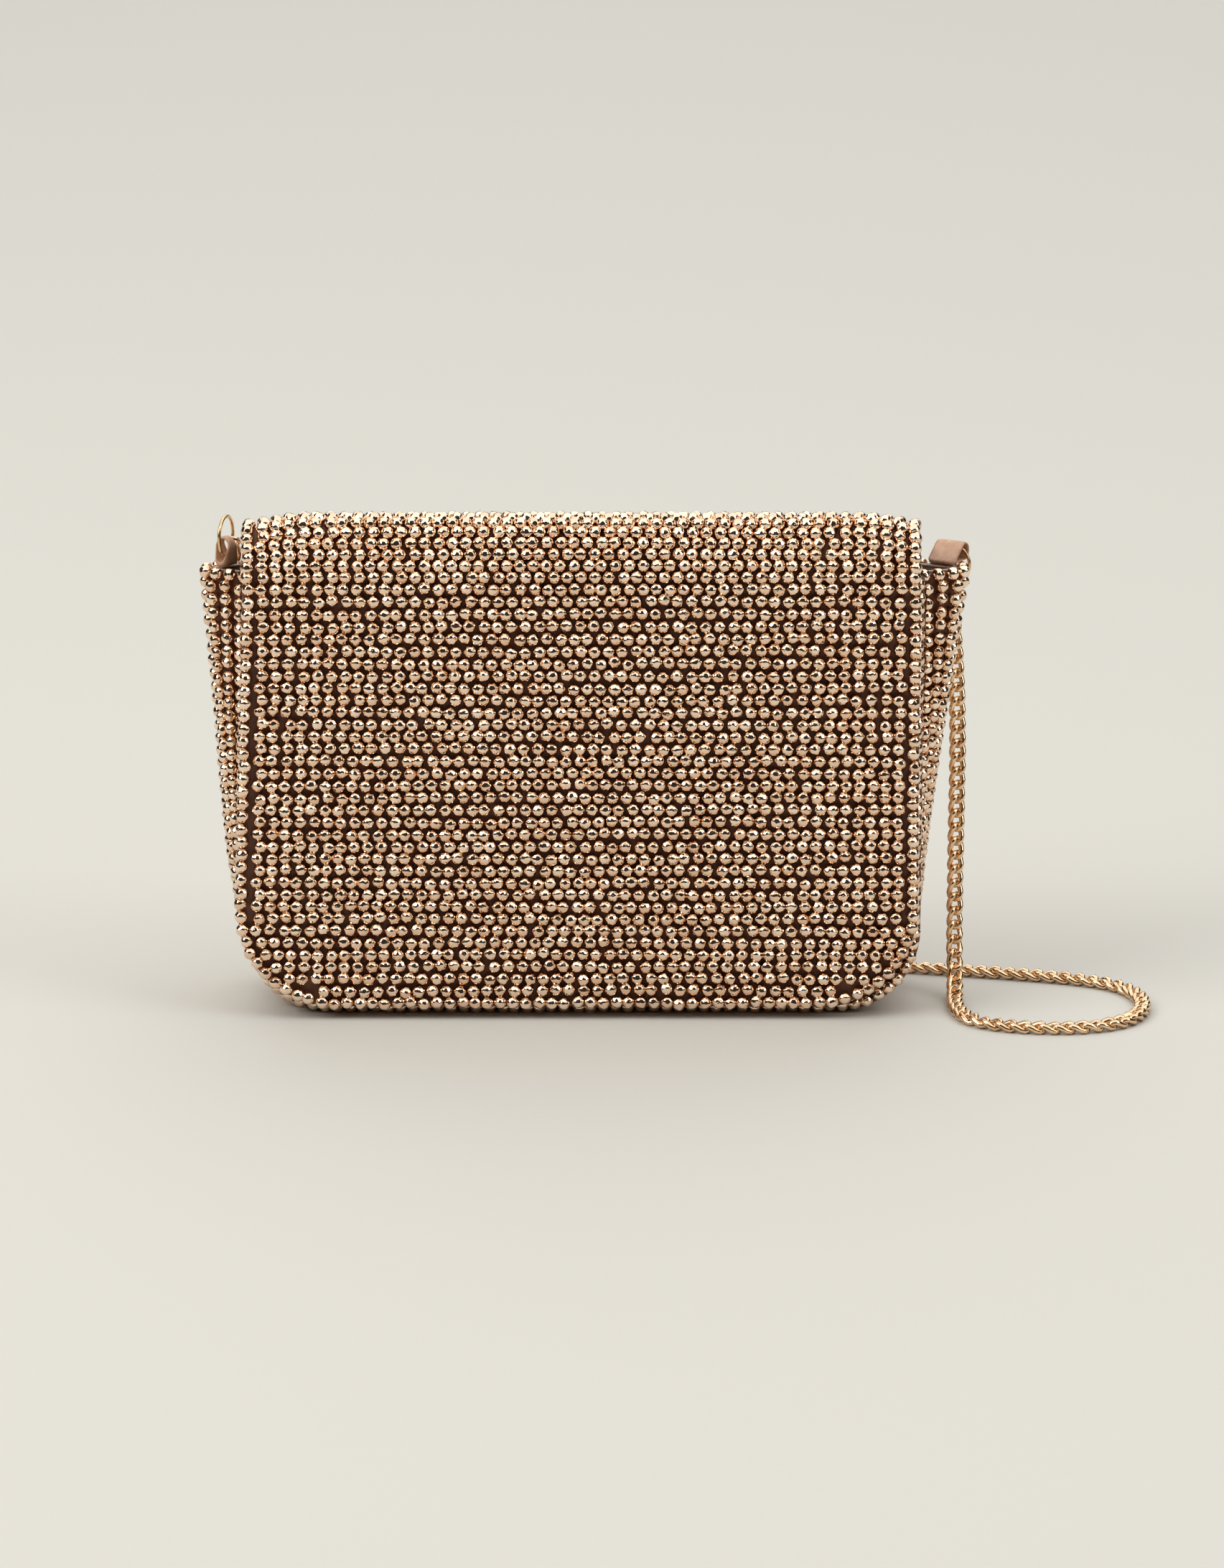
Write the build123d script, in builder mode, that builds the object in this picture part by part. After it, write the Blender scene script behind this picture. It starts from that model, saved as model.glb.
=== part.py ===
from build123d import *
import math
import os

# A beaded evening bag: two stiff panels joined by a U-shaped gusset, a flap that
# folds over the top and down the front, satin tabs with wire rings at both ends
# of the mouth, and a curb chain strap.
# Millimetres, +Z up, the flap faces -Y, origin under the middle of the base.

# driving dimensions
mouth_z = 152.0            # height of the mouth edge
panel_half_width = 115.0
panel_corner = 28.0        # radius of the lower corners of the panels
depth_half_base = 23.0     # outer half depth of the body at the floor
depth_half_mouth = 18.0    # and at the mouth

bead = 4.0                 # a bead's diameter is the thickness of the beadwork
satin = 0.8
board = 1.0
lining_cloth = 0.6
wall = bead + satin + board + lining_cloth

flap_gap = 1.0             # between the flap's lining and the beads of the front
flap_half_top = 115.0
flap_left_bottom = 119.0   # the flap's left edge slants outwards on its way down
flap_right_bottom = 114.0
flap_corner = 34.0
flap_bottom = 4.0          # height of the flap's lower edge above the floor
bead_setback = 1.3         # beadwork stops this far from a fold
cloth_setback = 0.15

lean = math.degrees(math.atan((depth_half_base - depth_half_mouth) / mouth_z))
flap_depth_base = depth_half_base + flap_gap + wall

# gusset: height, how far its left and right sides bulge past the panels, radius of
# its rounded ridge; the soft left side stands out further low down
gusset_levels = [
    (-2.0, 4.2, 0.3, 14.0),
    (panel_corner, 4.8, 0.8, 14.0),
    (53.0, 8.4, 3.2, 13.0),
    (78.0, 10.4, 6.2, 12.0),
    (104.0, 12.0, 9.8, 10.5),
    (129.0, 14.0, 13.2, 9.0),
    (mouth_z, 16.0, 16.8, 8.0),
]
gusset_clearance = 0.1
layer_gap = 0.06           # between neighbouring layers of the gusset

snap_height = 45.0
snap_radius = 9.0
socket_height = 3.0
socket_bore = 4.0
stud_radius = 2.5

wire_radius = 0.6
ring_radius = 6.6
link_wire = 0.65
link_half_width = 1.95
link_half_length = 3.15

chain_width = 5.6
floor_gap = 0.1

os.makedirs("parts", exist_ok=True)


def save(builder, name):
    builder.part.label = name
    export_step(builder.part, "parts/" + name + ".step")


def half_depth(z):
    return depth_half_base + (depth_half_mouth - depth_half_base) * z / mouth_z


# planes that lie on the outer beads, local x across the bag and local y upwards
cos_lean = math.cos(math.radians(lean))
sin_lean = math.sin(math.radians(lean))
front_plane = Plane((0, -depth_half_base, 0), x_dir=(1, 0, 0), z_dir=(0, -cos_lean, sin_lean))
back_plane = Plane((0, depth_half_base, 0), x_dir=(-1, 0, 0), z_dir=(0, cos_lean, sin_lean))
flap_plane = Plane((0, -flap_depth_base, 0), x_dir=(1, 0, 0), z_dir=(0, -cos_lean, sin_lean))

layers = {
    "beadwork": (0.0, bead),
    "satin": (bead, bead + satin),
    "board": (bead + satin, wall - lining_cloth),
    "lining": (wall - lining_cloth, wall),
}


# ---- flat panels -------------------------------------------------------------

def panel_outline(bottom, top, left_bottom, right_bottom, half_top, corner):
    """Upright outline with rounded lower corners."""
    with BuildSketch() as outline:
        with BuildLine():
            Polyline(
                (half_top, top), (right_bottom, bottom), (-left_bottom, bottom), (-half_top, top), close=True
            )
        make_face()
        fillet(outline.vertices().group_by(Axis.Y)[0], radius=corner)
    return outline.sketch


panel_lift = 0.6
panel_face = panel_outline(
    panel_lift, mouth_z, panel_half_width, panel_half_width, panel_half_width, panel_corner
)

# the socket stands in a round place left free of beads
bead_free_radius = snap_radius + 1.5
prong_spacing = 4.0
prong_size = (0.6, 2.6)
prong_slot = (1.0, 3.0)
washer_radius = 8.0
washer_thickness = 0.4
washer_recess = 0.5
front_recess = wall - lining_cloth - washer_recess


def prong_slots(plane, start, depth):
    """Cutter for the two slots that the prongs of a snap pass through."""
    with BuildPart() as slots:
        with BuildSketch(plane.offset(-start)):
            with Locations((prong_spacing, snap_height), (-prong_spacing, snap_height)):
                Rectangle(*prong_slot)
        extrude(amount=-depth)
    return slots.part


def snap_disc(plane, start, radius, thickness):
    """Round plate at the snap, start inside the outer beads of the plane's panel."""
    with BuildPart() as disc:
        with BuildSketch(plane.offset(-start)):
            with Locations((0, snap_height)):
                Circle(radius)
        extrude(amount=-thickness)
    return disc.part


with BuildPart() as front_beadwork:
    with BuildSketch(front_plane):
        add(panel_face)
        with Locations((0, snap_height)):
            Circle(bead_free_radius, mode=Mode.SUBTRACT)
    extrude(amount=-bead)
save(front_beadwork, "front_beadwork")

with BuildPart() as front_satin:
    with BuildSketch(front_plane.offset(-bead)):
        add(panel_face)
    extrude(amount=-satin)
    add(prong_slots(front_plane, bead, satin), mode=Mode.SUBTRACT)
save(front_satin, "front_satin")

with BuildPart() as front_board:
    with BuildSketch(front_plane.offset(-(bead + satin))):
        add(panel_face)
    extrude(amount=-board)
    add(prong_slots(front_plane, bead + satin, board), mode=Mode.SUBTRACT)
    add(snap_disc(front_plane, front_recess, washer_radius + 0.3, washer_recess), mode=Mode.SUBTRACT)
save(front_board, "front_board")

with BuildPart() as back_beadwork:
    with BuildSketch(back_plane):
        add(panel_face)
    extrude(amount=-bead)
    # the top row of beads stays clear of the fold of the flap
    with BuildSketch(Plane.XY.offset(mouth_z - bead_setback)):
        Rectangle(4 * panel_half_width, 4 * depth_half_base)
    extrude(amount=2 * bead_setback, mode=Mode.SUBTRACT)
save(back_beadwork, "back_beadwork")

for layer_name in ("satin", "board"):
    start, end = layers[layer_name]
    with BuildPart() as back_layer:
        with BuildSketch(back_plane.offset(-start)):
            add(panel_face)
        extrude(amount=-(end - start))
        with BuildSketch(Plane.XY.offset(mouth_z - cloth_setback)):
            Rectangle(4 * panel_half_width, 4 * depth_half_base)
        extrude(amount=2 * bead_setback, mode=Mode.SUBTRACT)
    save(back_layer, "back_" + layer_name)


# ---- gusset ------------------------------------------------------------------

def gusset_side(z, bulge, ridge, inset, margin):
    """One end of the gusset's plan at one height, moved inwards by inset.

    A straight line from the panel edge runs tangent into a rounded ridge. Returns the
    line's start, the tangent point and the tip of the ridge as distances from the middle."""
    reach = half_depth(z) - wall - gusset_clearance
    centre = panel_half_width + bulge - ridge
    distance = math.hypot(panel_half_width - centre, reach)
    turn = math.atan2(reach, panel_half_width - centre) - math.acos(ridge / distance)
    radius = ridge - inset
    y = reach + margin
    x = centre + (radius - math.sin(turn) * y) / math.cos(turn)
    tangent = (centre + radius * math.cos(turn), radius * math.sin(turn))
    return (x, y), tangent, (centre + radius, 0)


def gusset_section(z, left_bulge, right_bulge, ridge, inset, margin):
    """Plan of the gusset at one height; margin carries the straight lines past the panels."""
    right_start, right_tangent, right_tip = gusset_side(z, right_bulge, ridge, inset, margin)
    left_start, left_tangent, left_tip = gusset_side(z, left_bulge, ridge, inset, margin)
    with BuildSketch(Plane.XY.offset(z)) as section:
        with BuildLine():
            front = Line((-left_start[0], -left_start[1]), (right_start[0], -right_start[1]))
            right_front = Line(front @ 1, (right_tangent[0], -right_tangent[1]))
            right_ridge = ThreePointArc(right_front @ 1, right_tip, right_tangent)
            right_back = Line(right_ridge @ 1, right_start)
            back = Line(right_back @ 1, (-left_start[0], left_start[1]))
            left_back = Line(back @ 1, (-left_tangent[0], left_tangent[1]))
            left_ridge = ThreePointArc(
                left_back @ 1, (-left_tip[0], 0), (-left_tangent[0], -left_tangent[1])
            )
            Line(left_ridge @ 1, front @ 0)
        make_face()
    return section.sketch


def gusset_block(inset, margin):
    """Solid between the panels whose sides and base lie inset inside the gusset."""
    corner = panel_corner - inset
    left_x = panel_half_width + gusset_levels[1][1] - panel_corner
    right_x = panel_half_width + gusset_levels[1][2] - panel_corner
    wide = 2 * panel_half_width
    with BuildPart() as block:
        for level in gusset_levels:
            add(gusset_section(*level, inset, margin))
        loft(ruled=True)
        with BuildSketch(Plane.XZ):
            with BuildLine():
                Polyline(
                    (-wide, panel_corner),
                    (-wide, mouth_z + 10),
                    (wide, mouth_z + 10),
                    (wide, panel_corner),
                    (right_x + corner, panel_corner),
                )
                RadiusArc((right_x + corner, panel_corner), (right_x, inset), corner)
                Line((right_x, inset), (-left_x, inset))
                RadiusArc((-left_x, inset), (-left_x - corner, panel_corner), corner)
                Line((-left_x - corner, panel_corner), (-wide, panel_corner))
            make_face()
        extrude(amount=2 * depth_half_base, both=True, mode=Mode.INTERSECT)
    return block.part


inner_limit = panel_half_width - wall


def gusset_band(start, end, grow=0.0):
    """U-shaped band between two insets; grow carries its long edges outwards."""
    with BuildPart() as band:
        add(gusset_block(start, grow))
        add(gusset_block(end - layer_gap, grow + 0.5), mode=Mode.SUBTRACT)
        # the narrow slots at the mouth open into the bag at the panel edges
        with BuildSketch(Plane.XY.offset(panel_corner)):
            Rectangle(2 * inner_limit, 2 * depth_half_base)
        extrude(amount=mouth_z, mode=Mode.SUBTRACT)
    return band


for layer_name in ("beadwork", "satin"):
    save(gusset_band(*layers[layer_name]), "gusset_" + layer_name)

# between satin and lining: a soft interlining up each side and a stiff base board
board_half_length = panel_half_width - panel_corner - 4.0
interlining = gusset_band(*layers["board"])
for side_name, side in (("left", -1), ("right", 1)):
    with BuildPart() as side_interlining:
        add(interlining.part)
        with BuildSketch(Plane.XY.offset(-5)):
            with Locations((-side * panel_half_width, 0)):
                Rectangle(2 * (panel_half_width + board_half_length + 0.2), 4 * depth_half_base)
        extrude(amount=mouth_z + 20, mode=Mode.SUBTRACT)
    save(side_interlining, "gusset_interlining_" + side_name)

with BuildPart() as base_board:
    with BuildSketch(Plane.XY.offset(layers["board"][0])):
        RectangleRounded(2 * board_half_length, 2 * (half_depth(0) - wall - 0.5), 3)
    extrude(amount=board)
save(base_board, "base_board")

# one bag of lining: front and back sheets joined by its own gusset
lining_start, lining_end = layers["lining"]
lining_face = panel_outline(
    lining_start + 0.4,
    mouth_z - 0.5,
    panel_half_width - 1.0,
    panel_half_width - 1.0,
    panel_half_width - 1.0,
    panel_corner - lining_start,
)
with BuildPart() as lining:
    add(gusset_band(lining_start, lining_end, grow=0.3).part)
    for plane in (front_plane, back_plane):
        with BuildSketch(plane.offset(-lining_start)):
            add(lining_face)
        extrude(amount=-lining_cloth)
save(lining, "lining")

pocket_half_width = 65.0
pocket_bottom = 35.0
pocket_top = 108.0
with BuildPart() as slip_pocket:
    with BuildSketch(back_plane.offset(-wall)):
        with Locations((0, (pocket_bottom + pocket_top) / 2)):
            Rectangle(2 * pocket_half_width, pocket_top - pocket_bottom)
    extrude(amount=-0.9)
    with BuildSketch(back_plane.offset(-wall)):
        with Locations((0, (pocket_bottom + pocket_top) / 2 + 1.0)):
            Rectangle(2 * pocket_half_width - 2.0, pocket_top - pocket_bottom)
    extrude(amount=-0.4, mode=Mode.SUBTRACT)
save(slip_pocket, "slip_pocket")


# ---- flap --------------------------------------------------------------------

flap_face = panel_outline(
    flap_bottom, mouth_z, flap_left_bottom, flap_right_bottom, flap_half_top, flap_corner
)

# upper edge of each layer: beads stop well short of the fold, cloth just short
flap_setbacks = {
    "beadwork": bead_setback,
    "satin": cloth_setback,
    "board": cloth_setback,
    "lining": cloth_setback,
}
flap_inner_margin = 1.5    # the board and the lining end inside the edge of the satin

for layer_name, (start, end) in layers.items():
    with BuildPart() as flap_layer:
        with BuildSketch(flap_plane.offset(-start)):
            if layer_name in ("board", "lining"):
                offset(flap_face, amount=-flap_inner_margin)
            else:
                add(flap_face)
            with Locations((0, mouth_z)):
                Rectangle(4 * flap_half_top, 2 * flap_setbacks[layer_name], mode=Mode.SUBTRACT)
        extrude(amount=-(end - start))
        if layer_name in ("board", "lining"):
            add(prong_slots(flap_plane, start, end - start), mode=Mode.SUBTRACT)
        if layer_name == "board":
            add(snap_disc(flap_plane, start, washer_radius + 0.3, washer_recess), mode=Mode.SUBTRACT)
    save(flap_layer, "flap_front_" + layer_name)

# side view of the top of the flap, from the front fold over the ridge to the back
# fold: shoulder arc, tight ridge arc, straight slope, back arc
front_fold_y = -(half_depth(mouth_z) + flap_gap + wall)
back_fold_y = half_depth(mouth_z)
shoulder_radius = 28.0
shoulder_turn = 42.0
ridge_radius = 9.0
ridge_turn = 83.0
slope_turn = shoulder_turn + ridge_turn


def turn_offsets(radius, start_turn, end_turn):
    """Forward and upward travel along an arc between two directions of turn."""
    forward = radius * (math.cos(math.radians(start_turn)) - math.cos(math.radians(end_turn)))
    upward = radius * (math.sin(math.radians(end_turn)) - math.sin(math.radians(start_turn)))
    return forward, upward


# the slope and the back arc take up what is left of the span and of the height
shoulder_y, shoulder_z = turn_offsets(shoulder_radius, 0, shoulder_turn)
ridge_y, ridge_z = turn_offsets(ridge_radius, shoulder_turn, slope_turn)
left_y = back_fold_y - front_fold_y - shoulder_y - ridge_y
left_z = -(shoulder_z + ridge_z)
slope_y = math.sin(math.radians(slope_turn))
slope_z = math.cos(math.radians(slope_turn))
back_y, back_z = turn_offsets(1.0, slope_turn, 180.0)
determinant = slope_y * back_z - slope_z * back_y
slope_length = (left_y * back_z - left_z * back_y) / determinant
back_radius = (slope_y * left_z - slope_z * left_y) / determinant


def flap_curve(inset):
    """Edges of the flap's side view, moved inwards by inset."""
    shoulder = JernArc((front_fold_y + inset, mouth_z), (0, 1), shoulder_radius - inset, -shoulder_turn)
    ridge = JernArc(shoulder @ 1, shoulder % 1, ridge_radius - inset, -ridge_turn)
    slope = Line(ridge @ 1, (ridge @ 1) + (ridge % 1) * slope_length)
    back = JernArc(slope @ 1, slope % 1, back_radius - inset, slope_turn - 180.0)
    return shoulder @ 0, back @ 1


for layer_name, (start, end) in layers.items():
    setback = flap_setbacks[layer_name]
    half_width = flap_half_top
    if layer_name in ("board", "lining"):
        half_width -= flap_inner_margin
    with BuildPart() as top_layer:
        with BuildSketch(Plane.YZ):
            with BuildLine():
                outer_front, outer_back = flap_curve(start)
                inner_front, inner_back = flap_curve(end)
                Line(outer_front, inner_front)
                Line(outer_back, inner_back)
            make_face()
        extrude(amount=half_width, both=True)
        with BuildSketch(Plane.XY.offset(mouth_z - 1)):
            Rectangle(4 * half_width, 8 * depth_half_base)
        extrude(amount=1 + setback, mode=Mode.SUBTRACT)
    node = "flap_top_padding" if layer_name == "board" else "flap_top_" + layer_name
    save(top_layer, node)


# ---- magnetic snap -----------------------------------------------------------

def prongs(plane, start, depth):
    """Two flat prongs that run inwards from a plate."""
    with BuildPart() as pair:
        with BuildSketch(plane.offset(-start)):
            with Locations((prong_spacing, snap_height), (-prong_spacing, snap_height)):
                Rectangle(*prong_size)
        extrude(amount=-depth)
    return pair.part


socket_wall = 0.6
magnet_radius = snap_radius - socket_wall - 0.1
magnet_bore = socket_bore + socket_wall + 0.1
socket_start = bead - socket_height
magnet_start = socket_start + socket_wall + 0.1
magnet_height = bead - magnet_start - 0.1
stud_thickness = 1.5
post_length = 1.8

with BuildPart() as snap_socket:
    add(snap_disc(front_plane, socket_start, snap_radius, socket_height))
    add(snap_disc(front_plane, socket_start, socket_bore, socket_height), mode=Mode.SUBTRACT)
    add(snap_disc(front_plane, magnet_start - 0.1, magnet_radius + 0.1, socket_height), mode=Mode.SUBTRACT)
    add(snap_disc(front_plane, socket_start, socket_bore + socket_wall, socket_height))
    add(snap_disc(front_plane, socket_start - 0.1, socket_bore, socket_height + 0.2), mode=Mode.SUBTRACT)
    # prongs stand at the inner rim and reach to the washer behind the board
    prong_root = snap_disc(front_plane, bead - 0.3, socket_bore + socket_wall, 0.3)
    add(prong_root)
    add(snap_disc(front_plane, bead - 0.4, prong_spacing - 0.5, 0.5), mode=Mode.SUBTRACT)
    add(prongs(front_plane, bead, satin + board - washer_recess + washer_thickness))
save(snap_socket, "snap_socket")

with BuildPart() as snap_magnet:
    add(snap_disc(front_plane, magnet_start, magnet_radius - 0.1, magnet_height))
    add(snap_disc(front_plane, magnet_start - 0.1, magnet_bore, magnet_height + 0.2), mode=Mode.SUBTRACT)
save(snap_magnet, "snap_magnet")

with BuildPart() as snap_socket_washer:
    add(snap_disc(front_plane, front_recess + 0.05, washer_radius, washer_thickness))
    add(prong_slots(front_plane, front_recess, washer_recess + 0.1), mode=Mode.SUBTRACT)
save(snap_socket_washer, "snap_socket_washer")

with BuildPart() as snap_stud:
    add(snap_disc(flap_plane, wall, snap_radius, stud_thickness))
    add(snap_disc(flap_plane, wall + stud_thickness, stud_radius, post_length))
    add(prongs(flap_plane, bead + satin + 0.1, wall - bead - satin - 0.1))
save(snap_stud, "snap_stud")

with BuildPart() as snap_stud_washer:
    add(snap_disc(flap_plane, bead + satin + 0.05, washer_radius, washer_thickness))
    add(prong_slots(flap_plane, bead + satin, washer_recess), mode=Mode.SUBTRACT)
save(snap_stud_washer, "snap_stud_washer")


# ---- tabs, rings and end links -----------------------------------------------

right_tab_width = 10.4
left_tab_width = 8.0       # leaves room for the link beside it
tab_base = mouth_z + 0.1


def upright_plane(x, y, z, heading):
    """Plane whose normal points along heading, local y straight up."""
    along = Vector(math.cos(math.radians(heading)), math.sin(math.radians(heading)), 0)
    return Plane((x, y, z), x_dir=(-along.Y, along.X, 0), z_dir=along)


def satin_tab(plane, width, root, loop, hole_root, hole_loop):
    """Loop of satin: each of the four circles is (x, y, radius) in the plane."""
    with BuildPart() as tab:
        with BuildSketch(plane):
            for x, y, radius in (root, loop):
                with Locations((x, y)):
                    Circle(radius)
            make_hull()
        extrude(amount=width / 2, both=True)
        with BuildSketch(plane):
            for x, y, radius in (hole_root, hole_loop):
                with Locations((x, y)):
                    Circle(radius)
            make_hull()
        extrude(amount=width, both=True, mode=Mode.SUBTRACT)
    return tab


def wire_ring(plane, centre_height):
    """Ring of round wire whose own plane stands upright along the heading."""
    centre = plane.from_local_coords((0, centre_height, 0))
    with BuildPart() as ring:
        with BuildSketch(Plane(centre, x_dir=plane.z_dir, z_dir=(0, 0, 1))):
            with Locations((ring_radius, 0)):
                Circle(wire_radius)
        revolve(axis=Axis(centre, plane.x_dir))
    return ring


def end_link(centre, long_dir, normal):
    """Oval wire link: two straight sides and two round ends."""
    link_plane = Plane(centre, x_dir=long_dir, z_dir=normal)
    straight = link_half_length - link_half_width
    wire_start = link_plane.from_local_coords((-straight, link_half_width, 0))
    with BuildPart() as link:
        with BuildLine(link_plane):
            top = Line((-straight, link_half_width), (straight, link_half_width))
            right = RadiusArc(top @ 1, (straight, -link_half_width), link_half_width)
            bottom = Line(right @ 1, (-straight, -link_half_width))
            RadiusArc(bottom @ 1, top @ 0, link_half_width)
        with BuildSketch(Plane(wire_start, z_dir=long_dir)):
            Circle(link_wire)
        sweep()
    return link


# right: the loop leans out over the back of the gusset and the ring hangs down
right_plane = upright_plane(126.0, 10.8, tab_base, -30.0)
right_loop = (-0.6, 3.9, 3.5)
right_hole = (-0.6, 3.9, 2.5)
right_ring_top = 5.5       # height of the wire inside the loop, above the tab's base
tab_right = satin_tab(
    right_plane, right_tab_width, (-8.2, 1.0, 1.0), right_loop, (-6.0, 1.9, 0.5), right_hole
)
save(tab_right, "tab_right")
ring_right = wire_ring(right_plane, right_ring_top - ring_radius)
save(ring_right, "ring_right")
right_link_centre = right_plane.from_local_coords(
    (0, right_ring_top - 2 * ring_radius + wire_radius + 0.1 + link_wire - link_half_length, 0)
)
end_link_right = end_link(right_link_centre, (0, 0, 1), right_plane.z_dir)
save(end_link_right, "end_link_right")

# left: the loop stands up and the ring stands up in it
left_plane = upright_plane(-121.6, 0.0, tab_base, -107.0)
left_ring_low = 4.4
tab_left = satin_tab(
    left_plane, left_tab_width, (0, 1.2, 1.2), (0, 9.4, 3.2), (0, 3.2, 0.5), (0, 9.4, 2.2)
)
save(tab_left, "tab_left")
ring_left = wire_ring(left_plane, left_ring_low + ring_radius)
save(ring_left, "ring_left")

# the left link lies back from the far leg of the ring
leg_turn = math.radians(67.5)
leg_point = left_plane.from_local_coords(
    (0, left_ring_low + ring_radius * (1 - math.cos(leg_turn)), -ring_radius * math.sin(leg_turn))
)
left_link_dir = Vector(0.12, 0.88, -0.46).normalized()
left_link_side = Vector(0, 0, 1).cross(left_link_dir).normalized()
left_link_centre = leg_point + left_link_dir * (link_half_length - link_wire - wire_radius - 0.1)
end_link_left = end_link(left_link_centre, left_link_dir, left_link_dir.cross(left_link_side))
save(end_link_left, "end_link_left")


# ---- chain strap -------------------------------------------------------------

chain_radius = chain_width / 2
lie = chain_radius + floor_gap      # height of the chain's centre on the floor

# from the right link down to the floor, round the loop beside the bag, then behind it
drop_points = [
    (125.9, 10.9, 137.0),
    (127.8, 10.6, 118.0),
    (128.8, 9.6, 92.0),
]
split_point = (128.8, 9.3, 78.0)    # halfway along one run: the drop ends and the strap starts
strap_points = [
    (128.7, 9.0, 64.0),
    (128.6, 8.6, 40.0),
    (128.6, 7.6, 18.0),
    (128.4, -5.0, lie + 0.1),
    (127.4, -23.0, lie),
    (132.5, -37.0, lie),
    (147.0, -44.0, lie),
    (167.0, -45.5, lie),
    (184.0, -39.0, lie),
    (192.0, -25.0, lie),
    (192.5, -9.0, lie),
    (186.0, 5.0, lie),
    (170.0, 13.5, lie),
    (146.0, 20.0, lie),
    (120.0, 26.0, lie),
    (92.0, 31.5, lie),
    (66.0, 35.5, lie + 0.3),
]

# the part that is put away: two turns laid side by side behind the bag
hank_x = -5.0
hank_y = 53.0
hank_straight = 36.0
hank_outer = 17.5          # radius of the outer turn's centre line at the ends
hank_inner = 11.5
hank_z = chain_radius + 0.7
hank_height = chain_width
entry_x = 30.0             # where the strap runs into the outer turn
climb_start = 2.0          # the inner turn climbs here, onto the outer one
climb_end = -26.0

# from the top of the hank over its left end, along the floor and up to the left link
rise_points = [
    (climb_end, 41.3, hank_z + chain_width + 0.3),
    (-41.0, 40.2, hank_z + chain_width + 0.5),
    (-57.0, 39.4, hank_z + chain_width + 0.3),
    (-72.5, 38.4, 4.2),
    (-88.0, 37.6, lie),
    (-103.0, 35.4, 8.5),
    (-110.5, 32.4, 22.0),
    (-112.0, 30.4, 42.0),
    (-113.5, 28.8, 69.0),
    (-116.0, 26.6, 97.0),
    (-119.5, 22.0, 123.0),
    (-121.3, 16.6, 146.0),
    (-119.9, 12.6, 156.4),
]


def route_radii(points):
    """Radius for each inner point, as large as its two runs allow."""
    vectors = [Vector(*point) for point in points]
    radii = []
    for before, corner, after in zip(vectors, vectors[1:], vectors[2:]):
        run_in = corner - before
        run_out = after - corner
        half_turn = math.radians(run_in.get_angle(run_out)) / 2
        radii.append(0.45 * min(run_in.length, run_out.length) / math.tan(half_turn))
    return radii


def chain_tube(points, radii, name):
    """Plain tube along straight runs joined by tangent arcs."""
    with BuildPart() as tube:
        with BuildLine() as path:
            FilletPolyline(*points, radius=radii)
        with BuildSketch(Plane(points[0], z_dir=path.line % 0)):
            Circle(chain_radius)
        sweep()
    section = math.pi * chain_radius**2
    length = sum(edge.length for edge in path.line.edges())
    print(name, "length", round(length, 1), "volume ratio", round(tube.part.volume / (section * length), 4))
    print(name, "radii", [round(radius, 1) for radius in radii])
    save(tube, name)
    return length


whole_right = drop_points + strap_points + [(entry_x, hank_y - hank_outer, hank_z)]
right_radii = route_radii(whole_right)
drop_count = len(drop_points)
chain_tube(drop_points + [split_point], right_radii[: drop_count - 1], "chain_drop")
chain_tube([split_point] + whole_right[drop_count:], right_radii[drop_count - 1 :], "chain_strap")
chain_tube(rise_points, route_radii(rise_points), "chain_rise")


with BuildPart() as chain_hank:
    with BuildSketch(Plane.XY.offset(hank_z - chain_radius)):
        with Locations((hank_x, hank_y)):
            SlotCenterToCenter(2 * hank_straight, 2 * (hank_outer + chain_radius))
            SlotCenterToCenter(2 * hank_straight, 2 * (hank_inner - chain_radius), mode=Mode.SUBTRACT)
    extrude(amount=hank_height)
    # the outer turn is cut square where the strap runs into it
    with BuildSketch(Plane.XY):
        with Locations((entry_x + 25, hank_y - hank_outer)):
            Rectangle(50, chain_width + 0.6)
    extrude(amount=3 * chain_width, mode=Mode.SUBTRACT)
    # wedge for the turn that climbs on top
    with BuildSketch(Plane.XZ.offset(-hank_y + hank_inner)):
        with BuildLine():
            Polyline(
                (climb_start, hank_z + chain_radius - 0.5),
                (climb_end, hank_z + chain_radius - 0.5),
                (climb_end, hank_z + chain_width + chain_radius),
                close=True,
            )
        make_face()
    extrude(amount=chain_radius, both=True)
save(chain_hank, "chain_hank")

# a narrow ribbon holds the hank together
tie_x = 14.0
tie_width = 6.0
tie_thickness = 0.5
tie_half_length = hank_outer + chain_radius + 0.3
tie_height = chain_width + 0.4
with BuildPart() as chain_tie:
    with BuildSketch(Plane.YZ.offset(tie_x)):
        with Locations((hank_y, hank_z)):
            RectangleRounded(2 * (tie_half_length + tie_thickness), tie_height + 2 * tie_thickness, 1.2)
            RectangleRounded(2 * tie_half_length, tie_height, 0.7, mode=Mode.SUBTRACT)
    extrude(amount=tie_width / 2, both=True)
save(chain_tie, "chain_tie")
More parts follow.
